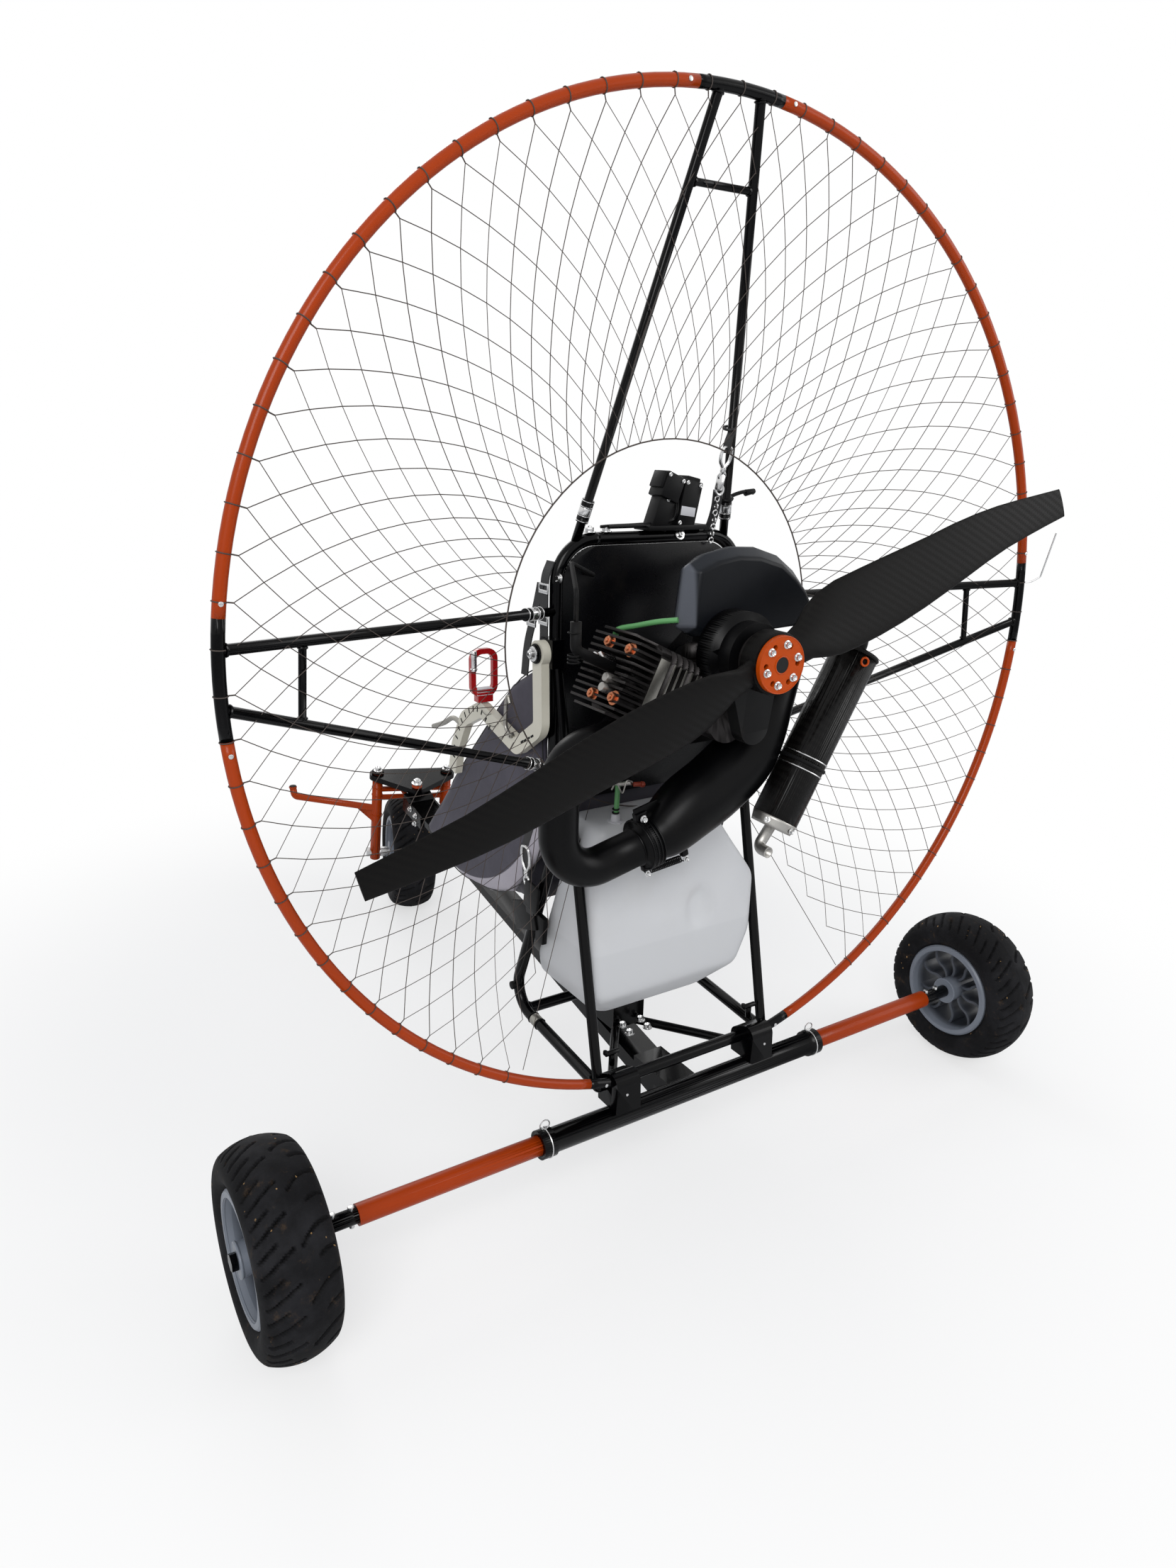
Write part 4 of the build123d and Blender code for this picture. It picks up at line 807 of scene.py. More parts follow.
def pad(name, node, finish, cap, voxel=0.0055):
    """The node's soft solid swelled under its cover, at most by the cap and not past the back panel."""
    bm = bmesh.new()
    bm.from_mesh(nodes[node].data)
    bmesh.ops.remove_doubles(bm, verts=bm.verts, dist=1e-5)
    piece = finish_piece(name, bm, finish, angle=60)
    remesh = piece.modifiers.new("remesh", "REMESH")
    remesh.mode, remesh.voxel_size = "VOXEL", voxel
    apply(piece)
    rest = np.array([v.co for v in piece.data.vertices])
    swell = piece.modifiers.new("swell", "CLOTH")
    swell.settings.use_pressure = True
    swell.settings.uniform_pressure_force = 4
    swell.settings.effector_weights.gravity = 0
    swell.settings.quality = 4
    for step in range(1, 21):
        bpy.context.scene.frame_set(step)
    apply(piece)
    bpy.context.scene.frame_set(1)
    now = np.array([v.co for v in piece.data.vertices])
    move = now - rest
    length = np.linalg.norm(move, axis=1, keepdims=True)
    now = rest + move * np.minimum(1, cap / np.maximum(length, 1e-9))
    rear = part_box(node)[0][1] + 0.0006
    for v, co in zip(piece.data.vertices, now):
        v.co = co
        v.co.y = max(v.co.y, rear)
    smoother = piece.modifiers.new("smooth", "SMOOTH")
    smoother.iterations, smoother.factor = 6, 0.5
    apply(piece)
    piece.data.shade_smooth()
    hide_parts(node)


# Tank with its softened corners, its dimple and the step round its raised middle
bm = bmesh.new()
bm.from_mesh(nodes["fuel_tank"].data)
bmesh.ops.remove_doubles(bm, verts=bm.verts, dist=1e-5)
tank = finish_piece("tank_shell", bm, "tank_plastic", angle=70)
skin = tank.modifiers.new("skin", "REMESH")
skin.mode, skin.voxel_size = "VOXEL", 0.005
soft = tank.modifiers.new("soft", "SMOOTH")
soft.iterations, soft.factor = 26, 0.5
apply(tank)
dimple, bulge = at(47, 52, 462), at(-20, 52, 560)
for v in tank.data.vertices:
    v.co.x *= 1.04
    if v.co.y < dimple.y + 0.03:
        reach = math.hypot((v.co.x - dimple.x) / 0.026, (v.co.z - dimple.z) / 0.034)
        v.co.y += 0.009 * math.exp(-reach ** 4)
        arc = math.hypot((v.co.x - bulge.x) / 0.150, (v.co.z - bulge.z) / 0.092)
        v.co.y += 0.004 / (1 + math.exp((arc - 1) * 14))
tank.data.shade_smooth()
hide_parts("fuel_tank")
pad("seat_back_pad", "seat_back", "charcoal_cloth", 0.010)
pad("seat_cushion_pad", "seat_cushion", "charcoal_cloth", 0.012)
pad("side_panel_left", "harness_left", "side_cloth", 0.004, 0.004)
pad("side_panel_right", "harness_right", "side_cloth", 0.004, 0.004)


# Bolts on the hub, the fork's clamp, the head of the frame and the keel
BOLT_CIRCLE = 29
hub_angles = [math.tau * i / 6 + PROPELLER_TILT for i in range(6)]
screws("hub_screws", [
    (at(BOLT_CIRCLE * math.cos(angle), -147.3, HUB_HEIGHT + BOLT_CIRCLE * math.sin(angle)), -Y, 0.0042,
     "socket") for angle in hub_angles], body="propeller_set")
bm = bmesh.new()
ring(bm, at(0, -147.4, HUB_HEIGHT), Y, 0.0123, 0.0012, 32, 8)
ring(bm, at(0, -147.2, HUB_HEIGHT), Y, 0.0402, 0.0009, 48, 8)
finish_piece("hub_edges", bm, "orange_anodised", "propeller_set")


def larger(*names):
    """The cylinder and its head as large as they show, grown from the foot on the crankcase."""
    foot = at(-27, 14, 865)
    growth = Matrix.Translation(foot) @ Matrix.Scale(1.22, 4) @ Matrix.Translation(-foot)
    for name in names:
        bpy.data.objects[name].data.transform(growth)


def steered(x, y, z):
    """A place on the fork, given straight ahead."""
    return steer @ at(x, y, z)


steer_up = steer.to_3x3() @ steer_axis
fork_table = [
    (steered(side * 88, 1250 - 237.2 * math.tan(RAKE), 390), steer_up, 0.0075, "socket") for side in (-1, 1)]
fork_table.append((steered(0, 1133.5 - 22.6 * math.tan(RAKE), 376.4), steer_up, 0.0095, "hex"))
screws("fork_clamp_bolts", fork_table, body="front_fork")
bm = bmesh.new()
for side in (-1, 1):
    for level in (344, 322, 265):
        place = steered(side * 88, 1250 - (level - TYRE_RADIUS) * math.tan(RAKE), level)
        ring(bm, place, steer_up, 0.0132, 0.0013, 28, 6)
    tip = steered(side * 297, 1250 - 131 * math.tan(RAKE), 344)
    cylinder(bm, tip, tip + Z * 0.004, 0.0098, sides=20, bevel=0.001)
finish_piece("fork_welds", bm, "orange_paint", "front_fork")
bm = bmesh.new()
for side in (-1, 1):
    tip = steered(side * 297, 1250 - 131 * math.tan(RAKE), 347)
    cylinder(bm, tip, tip + Z * 0.003, 0.0085, sides=20, bevel=0.001)
    cap = steered(side * 88, 1250 - 233 * math.tan(RAKE), 384)
    cylinder(bm, cap, cap + steer_up * 0.006, 0.0152, sides=32, bevel=0.0012)
finish_piece("peg_caps", bm, "rubber", "front_fork")
screws("head_bolts", [
    (at(side * 35.7, y, z), X * side, 0.0055, "hex") for side in (-1, 1)
    for y, z in ((1060, 318), (1092, 326), (1066, 296))])
screws("keel_bolts", [
    (at(x, y, 157 + y * 0.19), Z, 0.006, "socket")
    for x in (-20, 20) for y in (150, 172)])
screws("frame_top_bolts", [
    (at(-118, 169, 1078), Z, 0.0068, "hex"), (at(-88, 169, 1078), Z, 0.0062, "socket"),
    (at(112, 169, 1078), Z, 0.0068, "hex"), (at(46, 158.5, 1071), -Y + Z * 0.4, 0.006, "hex"),
    (at(176, 158, 1013), X, 0.005, "socket"), (at(-176, 158, 1013), -X, 0.005, "socket")])

# Welds and sleeves of the cage's spars
weld_places, sleeves = [], []
for middle, feet in (
        (90, ((-144, 169, 1062), (144, 169, 1062))), (1.438, ((176, 169, 962), (176, 169, 712))),
        (178.562, ((-176, 169, 712), (-176, 169, 962)))):
    rung = []
    for way, foot in zip((1, -1), feet):
        top, foot = hoop_place(middle + way * 2.744), at(*foot)
        run = (foot - top).normalized()
        weld_places.append((top + run * 0.0088, run, 0.0072))
        rung.append((top + run * 0.112, run))
        sleeves.append((foot - run * 0.068, foot - run * 0.034, run))
    run = (rung[1][0] - rung[0][0]).normalized()
    weld_places += [(rung[0][0] + run * 0.0078, run, 0.0052), (rung[1][0] - run * 0.0078, run, 0.0052)]
bm = bmesh.new()
for place, run, radius in weld_places:
    ring(bm, place, run, radius, 0.0018, 24, 7)
for side in (-1, 1):
    for y, z, axis, radius in (
            (169, 905, Y - Z * 3.2, 0.0095), (26, 216, Y - Z * 3.2, 0.0095), (258, 228, X, 0.0105),
            (169, 560, X, 0.0105)):
        ring(bm, at(side * (166.5 if axis.x else 176), y, z), axis.normalized(), radius, 0.0018, 24, 7)
finish_piece("welds", bm, "gloss_black")
bm = bmesh.new()
for low, high, run in sleeves:
    for share in (0.06, 0.30, 0.70, 0.94):
        ring(bm, low.lerp(high, share), run, 0.0095, 0.0008, 24, 6)
    cylinder(bm, low.lerp(high, 0.34), low.lerp(high, 0.66), 0.0097, sides=28, bevel=0.0004)
finish_piece("sleeve_rings", bm, "steel")

# Push buttons where the hoop's sections join, and the pins of the axle
bm = bmesh.new()
for angle in (97, 83, 8.438, -5.562, 185.562, 171.562, 284.5, 255.5):
    place = hoop_place(angle, behind=7.6)
    cylinder(bm, place, place - Y * 0.0016, 0.0031, sides=16, bevel=0.0006)
finish_piece("hoop_buttons", bm, "steel")
bm = bmesh.new()
for side in (-1, 1):
    ring(bm, at(side * 284, 0, 151), X, 0.0238, 0.0011, 40, 8)
    eye = at(side * 284, 4, 176)
    ring(bm, eye + Z * 0.006, Y, 0.0085, 0.0011, 24, 8)
    cylinder(bm, eye - Z * 0.004, eye + Z * 0.0012, 0.004, sides=18, bevel=0.0006)
    for x in (606, 634):
        cylinder(bm, at(side * x, 0, 162.5), at(side * x, 0, 169), 0.0052, sides=6, bevel=0.0006)
    cylinder(bm, at(side * 606, 0, 139), at(side * 606, 0, 133), 0.004, sides=12, bevel=0.0005)
finish_piece("axle_pins", bm, "steel")

# Axle clamps: the levers on top and the bolts through them
bm = bmesh.new()
for side in (-1, 1):
    x = side * 147
    cylinder(bm, at(x, 22, 236), at(x, 22, 256), 0.005, sides=14, bevel=0.0006)
    cylinder(bm, at(x - 13, 22, 259), at(x + 13, 22, 259), 0.0045, sides=14, bevel=0.001)
    cylinder(bm, at(x - 13, 22, 259), at(x - 13, 22, 266), 0.0038, sides=12, bevel=0.001)
finish_piece("clamp_levers", bm, "gloss_black")
screws("clamp_bolts", [
    (at(side * 147, -19, 206), -Y, 0.0052, "hex") for side in (-1, 1)])

# Engine
lean = math.radians(25.5)
along_cylinder = Vector((-math.cos(lean), 0, math.sin(lean)))
across_cylinder = Vector((-math.sin(lean), 0, -math.cos(lean)))
CRANK = at(8, 14, 818)


def on_head(out, over, back):
    """A place out along the cylinder, down across it and behind its middle, in millimetres."""
    return CRANK + (along_cylinder * out + across_cylinder * over - Y * back) * MM


fin_sizes = (0.8, 0.87, 0.94, 1.0, 1.0, 1.0, 1.0, 1.0)
bm = bmesh.new()
turn = Matrix((along_cylinder, across_cylinder, -Y)).transposed()
if turn.determinant() < 0:
    turn = Matrix((along_cylinder, -across_cylinder, -Y)).transposed()
turn = turn.to_4x4()
for i, size in enumerate(fin_sizes):
    place = on_head(58 + i * 9.5 + 1.5, 0, 47 * size + 0.1)
    block(bm, Matrix.Translation(place) @ turn, (0.0031, 0.098 * size - 0.028, 0.0008), 0.0003)
block(bm, Matrix.Translation(on_head(142, 0, 47.2)) @ turn, (0.015, 0.070, 0.0006), 0.0002)
finish_piece("fin_edges", bm, "alloy_edge")
bm = bmesh.new()
for over, back in ((-30, 30), (28, 34), (32, -6), (-32, -14)):
    place = on_head(150, over, back)
    cylinder(bm, place, place + along_cylinder * 0.030, 0.0088, sides=20, bevel=0.001)
finish_piece("head_bosses", bm, "cast_alloy")
screws("head_nuts", [
    (on_head(180, over, back), along_cylinder, 0.0062, "hex")
    for over, back in ((-30, 30), (28, 34), (32, -6), (-32, -14))], "copper")
bm = bmesh.new()
low, high = on_head(170, -8, -10), on_head(192, -8, -10)
cylinder(bm, low, high, 0.0095, sides=6, bevel=0.0012)
cylinder(bm, high, high + along_cylinder * 0.007, 0.006, sides=18, bevel=0.001)
finish_piece("decompressor", bm, "steel")
bm = bmesh.new()
for over in (9, 21):
    cylinder(bm, on_head(168, over, 14), on_head(190, over, 14), 0.0062, 0.0056, sides=18, bevel=0.0012)
finish_piece("head_plugs", bm, "aluminium")
dressed("cylinder")
dressed("cylinder_head")
larger("cylinder_shown", "cylinder_head_shown", "fin_edges", "head_bosses", "head_nuts", "decompressor",
    "head_plugs")
bm = bmesh.new()
cap = at(-239.5, 14, 926)
for z in (-8, -3, 2, 34):
    ring(bm, cap + Z * z * MM, Z, 0.0082, 0.0011, 26, 8)
finish_piece("plug_cap_ribs", bm, "rubber")


def sprung(bm, start, end, radius, wire, turns):
    """A coil spring with an eye at each end."""
    run = (end - start).normalized()
    side = run.orthogonal().normalized()
    other = run.cross(side)
    steps, line = turns * 12, []
    for i in range(steps + 1):
        turn = i * math.tau / 12
        off = (side * math.cos(turn) + other * math.sin(turn)) * radius
        line.append(start + (end - start) * i / steps + off)
    runs(bm, [line], wire, 1)
    for eye, way in ((start, -1), (end, 1)):
        ring(bm, eye + run * way * radius, other, radius, wire, 16, 6)


# Header's joint, its clip and spring
joint = at(start_x, -4, start_z)
header_run = Vector((0.57 * 279, 0, 0.167 * 222)).normalized()
bm = bmesh.new()
for share in (-0.0155, -0.0085, -0.0015, 0.0045):
    ring(bm, joint + header_run * share, header_run, 0.0402, 0.0013, 48, 8)
ring(bm, joint - header_run * 0.024, header_run, 0.0292, 0.0016, 40, 8)
up = header_run.cross(Y).normalized()
if up.z < 0:
    up = -up
tab = joint - header_run * 0.006 + up * 0.044
block(bm, frame_to(header_run, tab), (0.012, 0.018, 0.020), 0.0015)
block(bm, frame_to(header_run, tab + up * 0.009 + header_run * 0.012), (0.004, 0.016, 0.044), 0.001)
lug_low, lug_high = joint - up * 0.043 - header_run * 0.012, joint - up * 0.050 + header_run * 0.062
for lug in (lug_low, lug_high):
    block(bm, frame_to(header_run, lug + up * 0.002), (0.010, 0.010, 0.012), 0.0015)
finish_piece("joint_bands", bm, "black_metal")
bm = bmesh.new()
hooked = header_run * 0.008
sprung(bm, lug_low - up * 0.006 + hooked, lug_high - up * 0.006 - hooked, 0.0052, 0.0011, 18)
finish_piece("joint_spring", bm, "rubber")
screws("joint_bolts", [
    (tab - Y * 0.009, -Y, 0.0042, "socket"), (lug_low - up * 0.008 - Y * 0.004, -Y, 0.0035, "socket"),
    (lug_high - up * 0.008 - Y * 0.004, -Y, 0.0035, "socket")])

# Silencer's wire bands, its ring and the end cap's screw
lean = math.radians(29.6)
silencer_run = Vector((math.sin(lean), 0, math.cos(lean)))
silencer_low = at(98, -56, 650)
bm = bmesh.new()
for reach in (86, 107):
    ring(bm, silencer_low + silencer_run * reach * MM, silencer_run, 0.0374, 0.0011, 56, 8)
finish_piece("silencer_wires", bm, "steel")
bm = bmesh.new()
ring(bm, silencer_low + silencer_run * 0.097, silencer_run, 0.0366, 0.0034, 56, 8)
ring(bm, silencer_low + silencer_run * 0.289, silencer_run, 0.0362, 0.003, 56, 8)
finish_piece("silencer_bands", bm, "rubber")
beside = silencer_run.cross(Y).normalized()
out = (beside * 0.3 - Y).normalized()
bm = bmesh.new()
ring(bm, silencer_low + silencer_run * 0.276 + out * 0.0372, out, 0.0062, 0.0017, 24, 8)
finish_piece("silencer_ring", bm, "orange_anodised")
screws("silencer_screws", [
    (silencer_low - silencer_run * 0.009 + way * 0.0358, way, 0.0036, "socket")
    for way in ((out + beside * k).normalized() for k in (-0.5, 1.6, -3))])

# Tank's fitting, the clip on its hose and the tap beside it
bm = bmesh.new()
cylinder(bm, at(-116, 78, 636), at(-116, 78, 652), 0.009, 0.0065, sides=24, bevel=0.001)
cylinder(bm, at(-116, 78, 630), at(-116, 78, 641), 0.014, sides=8, bevel=0.0015)
finish_piece("tank_fitting", bm, "label")
bm = bmesh.new()
for z in (654, 660):
    ring(bm, at(-116, 78, z), Z, 0.0047, 0.0014, 22, 8)
finish_piece("hose_clips", bm, "rubber")
bm = bmesh.new()
cylinder(bm, at(-98, 58, 704), at(-86, 55, 703), 0.0038, sides=18, bevel=0.001)
cylinder(bm, at(-86, 55, 703), at(-80, 54, 702), 0.0052, 0.0045, sides=8, bevel=0.0008)
finish_piece("primer_tap", bm, "red_brown")
bm = bmesh.new()
cord(bm, 0.0013, 2, 8, (-136, 62, 700), (-130, 58, 712), (-120, 56, 694), (-112, 56, 712), (-100, 58, 707))
cord(bm, 0.0036, 3, 8, (-100, 60, 706), (-112, 90, 700), (-118, 140, 720), (-118, 164, 730))
finish_piece("tap_wire", bm, "aluminium")

# Boxes on the frame: screws, a blank label and the lead
bm = bmesh.new()
block(bm, leaning(53, 148.6, 1107, 8), (0.028, 0.0008, 0.014), 0.0003)
finish_piece("box_label", bm, "label")
screws("box_screws", [
    (box @ Vector((x * MM, -y * MM, z * MM)), -Y, 0.0022, "socket")
    for box, x, y, z in (
        (RIGHT_BOX, -13, 19, 31), (RIGHT_BOX, 13, 19, 31), (RIGHT_BOX, -13, 19, -31), (LEFT_BOX, -14, 18, 15),
        (LEFT_BOX, 14, 18, 15), (BOX_FOOT, 0, 13, 18))])
bm = bmesh.new()
cord(
    bm, 0.0025, 2, 8, (40, 160, 1130), (34, 152, 1106), (26, 158, 1092), (-30, 164, 1088), (-80, 165, 1087),
    (-100, 166, 1086))
runs(bm, [[at(-90, 160, 1086), at(10, 160, 1086)]], 0.003, 2)
finish_piece("box_lead", bm, "box_plastic")


def snap_hook(bm, top, bottom, side, wire=0.0026):
    """A spring hook: its loop, its gate and the swivel eye under it."""
    run = bottom - top
    length = run.length
    run.normalize()
    half = length * 0.2
    loop = [top + run * length * a + side * half * b for a, b in (
        (0.0, 0.0), (0.04, 0.7), (0.2, 1.0), (0.45, 0.9), (0.62, 0.35), (0.68, 0.0), (0.62, -0.35),
        (0.45, -0.9),
        (0.2, -1.0), (0.04, -0.7), (0.0, 0.0))]
    runs(bm, [smooth_line(loop, 4)], wire, 2)
    cylinder(bm, top + run * length * 0.66, top + run * length * 0.84, wire * 1.7, sides=16, bevel=0.0006)
    ring(bm, top + run * length * 0.92, side.cross(run), length * 0.12, wire * 0.85, 20, 8)


leg_foot = at(144, 169, 1062)
leg_run = (leg_foot - hoop_place(87.256)).normalized()


def leg_at(height, left=0.0, behind=0.0):
    """A place on the top spar's right leg at a height, moved left or behind, in millimetres."""
    return leg_foot + leg_run * ((leg_foot.z - height * MM) / -leg_run.z) + Vector((-left, -behind, 0)) * MM


# Snap hook and shackle on the top spar's right leg, with their webbing
bm = bmesh.new()
ring(bm, leg_at(1233, 6), leg_run, 0.0088, 0.0022, 24, 8)
strap(bm, smooth_line([leg_at(1228, 4, 6), leg_at(1212, 12, 8), leg_at(1196, 16, 9)], 6), Y * 0.016, 0.0022)
tail = [leg_at(1140, 24, 8), leg_at(1112, 26, 8), leg_at(1085, 32, 6), leg_at(1062, 36, -2)]
strap(bm, smooth_line(tail, 6), X * 0.018, 0.0022)
finish_piece("line_webbing", bm, "webbing")
bm = bmesh.new()
snap_hook(bm, leg_at(1205, 14, 10), leg_at(1158, 22, 10), X, 0.0027)
block(
    bm, Matrix.Translation(leg_at(1152, 24, 10)) @ Matrix.Rotation(0.2, 4, "Y"), (0.012, 0.010, 0.026), 0.003)
ring(bm, leg_at(1140, 24, 10), Y, 0.0075, 0.0022, 22, 8)
for i in range(7):
    ring(bm, leg_at(1126 - i * 11, 28 + i, 11), X if i % 2 else Y, 0.0042, 0.0013, 14, 6)
finish_piece("line_hardware", bm, "steel")
bm = bmesh.new()
lever = [leg_at(1126, -4, -2), leg_at(1132, -20, -2), leg_at(1136, -40, -2), leg_at(1134, -58, -2)]
runs(bm, [smooth_line(lever)], 0.0031, 3)
ring(bm, leg_at(1126), leg_run, 0.0092, 0.003, 24, 8)
cylinder(bm, leg_at(1134, -40, -2), leg_at(1137, -60, -2), 0.0055, 0.0042, sides=14, bevel=0.001)
finish_piece("line_lever", bm, "box_plastic")

# Harness on each side: webbing down the shoulder and its buckles, then the rings and plates below
for side, label in ((-1, "left"), (1, "right")):
    bm = bmesh.new()
    x = side * 191.5
    for width, thickness, rows in (
            (0.022, 0.002, (
                (side * 178, 180, 1036), (side * 189, 178, 1010), (x, 176, 960), (x, 176, 925),
                (x, 178, 905))),
            (0.02, 0.002, ((x, 186, 1004), (x - side, 204, 960), (x, 226, 905), (x, 236, 852))),
            (0.024, 0.0024, ((x, 232, 560), (x, 228, 520), (x, 222, 478), (x, 214, 440))),
            (0.02, 0.0022, ((side * 189, 190, 640), (x, 212, 600), (x, 230, 562)))):
        strap(bm, smooth_line(places(*rows), 6), Y * width, thickness)
    finish_piece("shoulder_webbing_" + label, bm, "webbing")
    bm = bmesh.new()
    for y, z in ((177, 992), (177, 944), (214, 936)):
        block(bm, turned(side * 193.2, y, z), (0.0026, 0.027, 0.006), 0.0008)
        block(bm, turned(side * 193.2, y, z + 11), (0.0026, 0.027, 0.003), 0.0008)
        for k in (-12.5, 12.5):
            block(bm, turned(side * 193.2, y + k, z + 6), (0.0026, 0.0026, 0.014), 0.0008)
    snap_hook(bm, at(side * 195, 228, 560), at(side * 195, 222, 494), Y, 0.0026)
    finish_piece("harness_buckles_" + label, bm, "steel")
    bm = bmesh.new()
    block(bm, turned(side * 195, 205, 476, 0.15), (0.006, 0.046, 0.052), 0.0028)
    block(bm, turned(side * 190, 238, 428, -0.35), (0.005, 0.074, 0.052), 0.0012)
    block(bm, turned(side * 184, 190, 420, 0.1), (0.010, 0.026, 0.05), 0.002)
    finish_piece("harness_plates_" + label, bm, "box_plastic")
    bm = bmesh.new()
    foot, toe = at(side * 176, 16, 208), at(side * 176, 304, 232)
    cylinder(bm, at(side * 177, 284, 268), at(side * 192, 284, 268), 0.0065, 0.0078, sides=20, bevel=0.0015)
    for share in (0.66, 0.74):
        ring(bm, foot.lerp(toe, share), (toe - foot).normalized(), 0.0104, 0.0012, 28, 8)
    finish_piece("frame_knob_" + label, bm, "rubber")
    bm = bmesh.new()
    cylinder(bm, foot.lerp(toe, 0.67), foot.lerp(toe, 0.73), 0.0107, sides=30, bevel=0.0006)
    finish_piece("frame_sleeve_" + label, bm, "alloy_edge")
    bm = bmesh.new()
    cord(
        bm, 0.0022, 2, 8, (side * 190, 214, 440), (side * 189, 224, 380), (side * 188, 250, 320),
        (side * 188, 282, 272))
    finish_piece("knob_cord_" + label, bm, "rubber")

    # Seams along the side panel's edge and its joins
    bm = bmesh.new()
    panel = [at(side * 189.6, y, z) for y, z in (
        (186, 878), (284, 818), (494, 614), (532, 566), (626, 470), (626, 456), (535, 420), (466, 413),
        (367, 427),
        (290, 456), (188, 566))]
    runs(bm, [smooth_line(panel + panel[:1], 4)], 0.0011, 1)
    runs(bm, [smooth_line([at(side * 189.6, y, z) for y, z in row], 6) for row in (
        ((190, 800), (260, 760), (330, 700), (392, 640), (470, 560), (520, 500)),
        ((230, 846), (250, 780), (262, 700), (262, 640)),
        ((400, 706), (372, 640), (352, 580), (346, 520)))], 0.0008, 1)
    finish_piece("panel_seams_" + label, bm, "webbing")

# Arms: painted shade for the slots, thin lines, pivot bolts, the handle and the carabiner's gate
for side, label in ((-1, "left"), (1, "right")):
    body = "riser_arm_" + label
    face = side * 212.1
    bm = bmesh.new()
    # Painted shade: thin near black blocks on the arm's face stand in for the slots
    for y, z, angle in (
            (209, 750, 60), (188, 761, 60), (177, 767, 60), (199, 755, 60), (322, 746, 40), (335, 757, 40),
            (350, 766, 25), (366, 768, 10), (382, 765, -5), (398, 758, -20), (414, 747, -30),
            (428, 733, -42), (440, 716, -55), (450, 697, -66), (457, 678, -76), (463, 658, -76)):
        block(bm, turned(face, y, z, math.radians(angle)), (0.0006, 0.0034, 0.010), 0.0002)
    finish_piece("arm_slots_" + label, bm, "painted_hole_shade", body)
    bm = bmesh.new()
    pivot = at(side * 212.6, 164, 901)
    cylinder(bm, pivot, pivot + X * side * 0.003, 0.0155, sides=32, bevel=0.0008)
    finish_piece("pivot_washer_" + label, bm, "rubber")
    bm = bmesh.new()
    pivot = at(side * 218.5, 164, 901)
    cylinder(bm, pivot - X * side * 0.004, pivot + X * side * 0.001, 0.0118, sides=32, bevel=0.0008)
    cylinder(bm, pivot, pivot + X * side * 0.007, 0.0088, 0.0072, sides=6, bevel=0.0008)
    cylinder(bm, pivot + X * side * 0.006, pivot + X * side * 0.0085, 0.0048, 0.004, sides=20, bevel=0.0004)
    finish_piece("pivot_bolt_" + label, bm, "steel")
    # Painted shade: a thin near black disc on the bolt's end stands in for its hole
    bm = bmesh.new()
    cylinder(bm, pivot + X * side * 0.0084, pivot + X * side * 0.0088, 0.0022, sides=14)
    finish_piece("pivot_hole_" + label, bm, "painted_hole_shade")
    bm = bmesh.new()
    x = side * 215.5
    cord(
        bm, 0.0034, 3, 6, (x, 243, 806), (x, 249, 816), (x, 255, 806), (x, 257, 786), (x, 258, 766),
        (x, 250, 756), (x, 241, 752))
    cylinder(bm, at(x - side * 6, 243, 752), at(x + side, 243, 752), 0.0046, sides=16, bevel=0.0006)
    cord(
        bm, 0.0046, 3, 6, (side * 207, 436, 722), (side * 212, 462, 730), (side * 213, 500, 712),
        (side * 212, 548, 694))
    finish_piece("brake_handle_" + label, bm, "alloy_edge", body)
    bm = bmesh.new()
    cylinder(bm, at(side * 225, 351, 838), at(side * 225, 351, 872), 0.0049, sides=18, bevel=0.0008)
    ring(bm, at(side * 225, 351, 842), Z, 0.0052, 0.0014, 22, 8)
    finish_piece("carabiner_gate_" + label, bm, "steel", body)
    bm = bmesh.new()
    for z in (796, 801, 806):
        block(bm, turned(side * 205, 356, z), (0.0294, 0.0166, 0.0014), 0.0004)
    finish_piece("block_stripes_" + label, bm, "label", body)
    bm = bmesh.new()
    for k in range(4):
        y = 236 + k * 26
        cord(
            bm, 0.0005, 0, 4, (face + side * 0.6, y, 742 + k * 10), (face + side * 1.2, y + 16, 724 + k * 14),
            (face + side * 0.8, y + 34, 715 + k * 18))
    finish_piece("arm_cords_" + label, bm, "webbing", body)

# Wheels: rings round the hub caps and rims, and the valves
for label, centre, matrix, turn in WHEELS:
    bm = bmesh.new()
    for side in (-1, 1):
        for radius, wire, x in ((0.0238, 0.0022, 0.0505), (0.0835, 0.0018, 0.0462)):
            ring(bm, centre + X * side * x, X, radius, wire, 72, 8)
    valve = centre + Vector((-0.030, 0.052, -0.056))
    cylinder(bm, valve, valve + Vector((-0.010, -0.012, 0.013)), 0.0036, 0.003, sides=12, bevel=0.0005)
    bmesh.ops.transform(bm, matrix=matrix, verts=bm.verts)
    finish_piece("rim_trim_" + label, bm, "rim_grey", "wheel_" + label)

# Floor, white where it is far or not seen by the camera
bm = bmesh.new()
bmesh.ops.create_grid(bm, x_segments=2, y_segments=2, size=30)
mesh = bpy.data.meshes.new("floor")
bm.to_mesh(mesh)
bm.free()
floor = bpy.data.objects.new("floor", mesh)
bpy.context.scene.collection.objects.link(floor)
ground = Finish("pale floor")
ground.done(Base_Color=srgb(238, 238, 238), Roughness=0.8)
reach = (ground.axis(0) * ground.axis(0) + ground.axis(1) * ground.axis(1)) ** 0.5
seen = ground.node("ShaderNodeLightPath", out="Is Camera Ray")
far = (0.6 + ground.step(reach, 0.7, 1.8) * 0.4) * seen
blank = ground.node("ShaderNodeEmission", None, {"Color": (1, 1, 1, 1), "Strength": 1.0})
blend = ground.node("ShaderNodeMixShader", None, {0: far, 2: blank})
ground.tree.links.new(ground.shader.outputs[0], blend.socket.node.inputs[1])
ground.tree.links.new(blend.socket, ground.tree.nodes["Material Output"].inputs[0])
mesh.materials.append(ground.material)

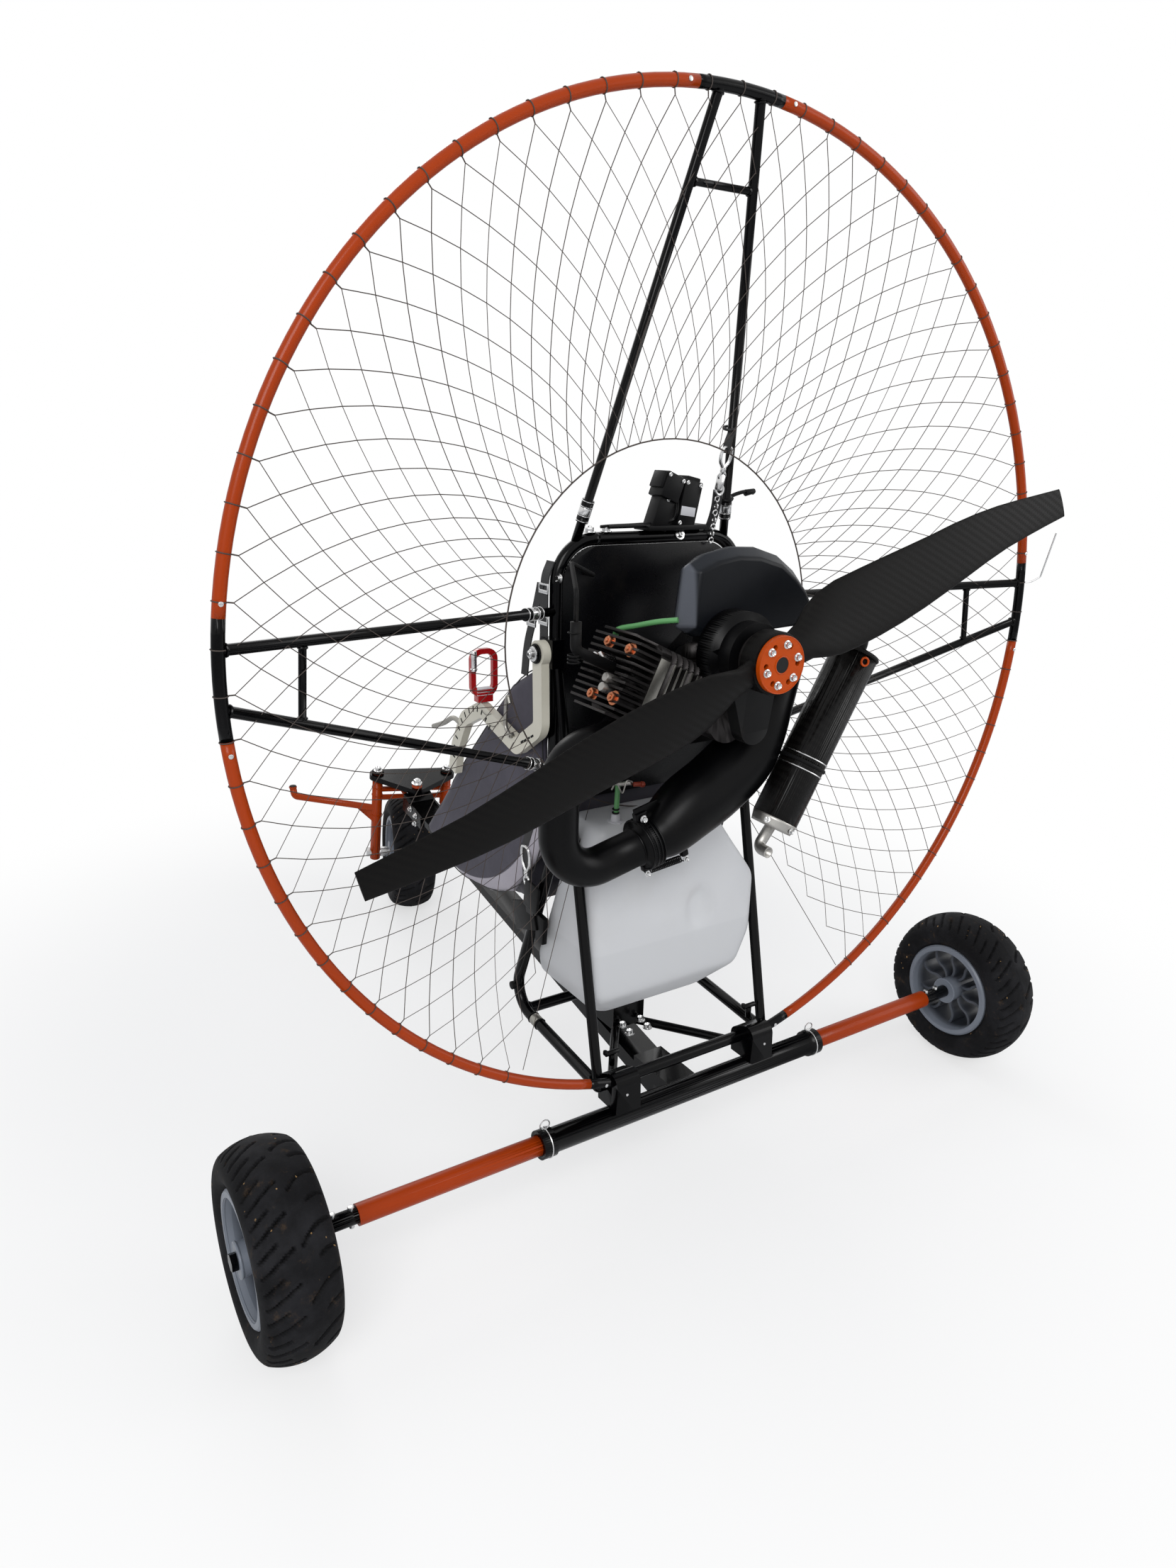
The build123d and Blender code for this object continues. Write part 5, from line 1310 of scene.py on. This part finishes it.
# World: white to the camera, to reflections and through clear parts, soft grey as light
scene = bpy.context.scene
scene.view_settings.view_transform = "Standard"
world = bpy.data.worlds.new("studio")
scene.world = world
world.use_nodes = True
tree = world.node_tree
back = tree.nodes["Background"]
rays = tree.nodes.new("ShaderNodeLightPath").outputs
white = tree.nodes.new("ShaderNodeBackground")
white.inputs[0].default_value = (1, 1, 1, 1)
white.inputs[1].default_value = 1.0
back.inputs[0].default_value = (0.92, 0.95, 1.0, 1)
back.inputs[1].default_value = 0.5
mixer = tree.nodes.new("ShaderNodeMixShader")
either, seen_or = (tree.nodes.new("ShaderNodeMath") for _ in range(2))
either.operation = seen_or.operation = "MAXIMUM"
for output, target in (
        (rays["Is Glossy Ray"], either.inputs[0]), (rays["Is Transmission Ray"], either.inputs[1]),
        (rays["Is Camera Ray"], seen_or.inputs[0]), (either.outputs[0], seen_or.inputs[1]),
        (seen_or.outputs[0], mixer.inputs[0]), (back.outputs[0], mixer.inputs[1]),
        (white.outputs[0], mixer.inputs[2]), (mixer.outputs[0], tree.nodes["World Output"].inputs[0])):
    tree.links.new(output, target)

# Lamps
for name, place, target, size, power in (
        ("key", (-2.6, -3.6, 3.4), (0, 0, 0.7), 2.2, 125),
        ("fill", (3.4, -2.8, 2.2), (0, 0, 0.6), 2.4, 45),
        ("rim", (0.4, 3.8, 3.6), (0, 0, 0.8), 2.2, 45)):
    lamp = bpy.data.lights.new(name, "AREA")
    lamp.size, lamp.energy = size, power
    light = bpy.data.objects.new(name, lamp)
    light.location = place
    light.rotation_euler = (Vector(target) - Vector(place)).to_track_quat("-Z", "Y").to_euler()
    scene.collection.objects.link(light)

# Camera, as solved from the photograph
azimuth, elevation, roll = 0.575782, -0.321872, 0.0230656
forward = Vector((
    math.sin(azimuth) * math.cos(elevation), math.cos(azimuth) * math.cos(elevation), math.sin(elevation)))
right = forward.cross(Z).normalized()
up = right.cross(forward)
side = math.cos(roll) * right + math.sin(roll) * up
top = math.cos(roll) * up - math.sin(roll) * right
lens = bpy.data.cameras.new("camera")
lens.lens, lens.sensor_width = 1476.61 / 2212 * 36, 36
camera = bpy.data.objects.new("camera", lens)
facing = Matrix((side, top, -forward)).transposed().to_4x4()
camera.matrix_world = Matrix.Translation((-0.999023, -1.823450, 1.218232)) @ facing
scene.collection.objects.link(camera)
scene.camera = camera
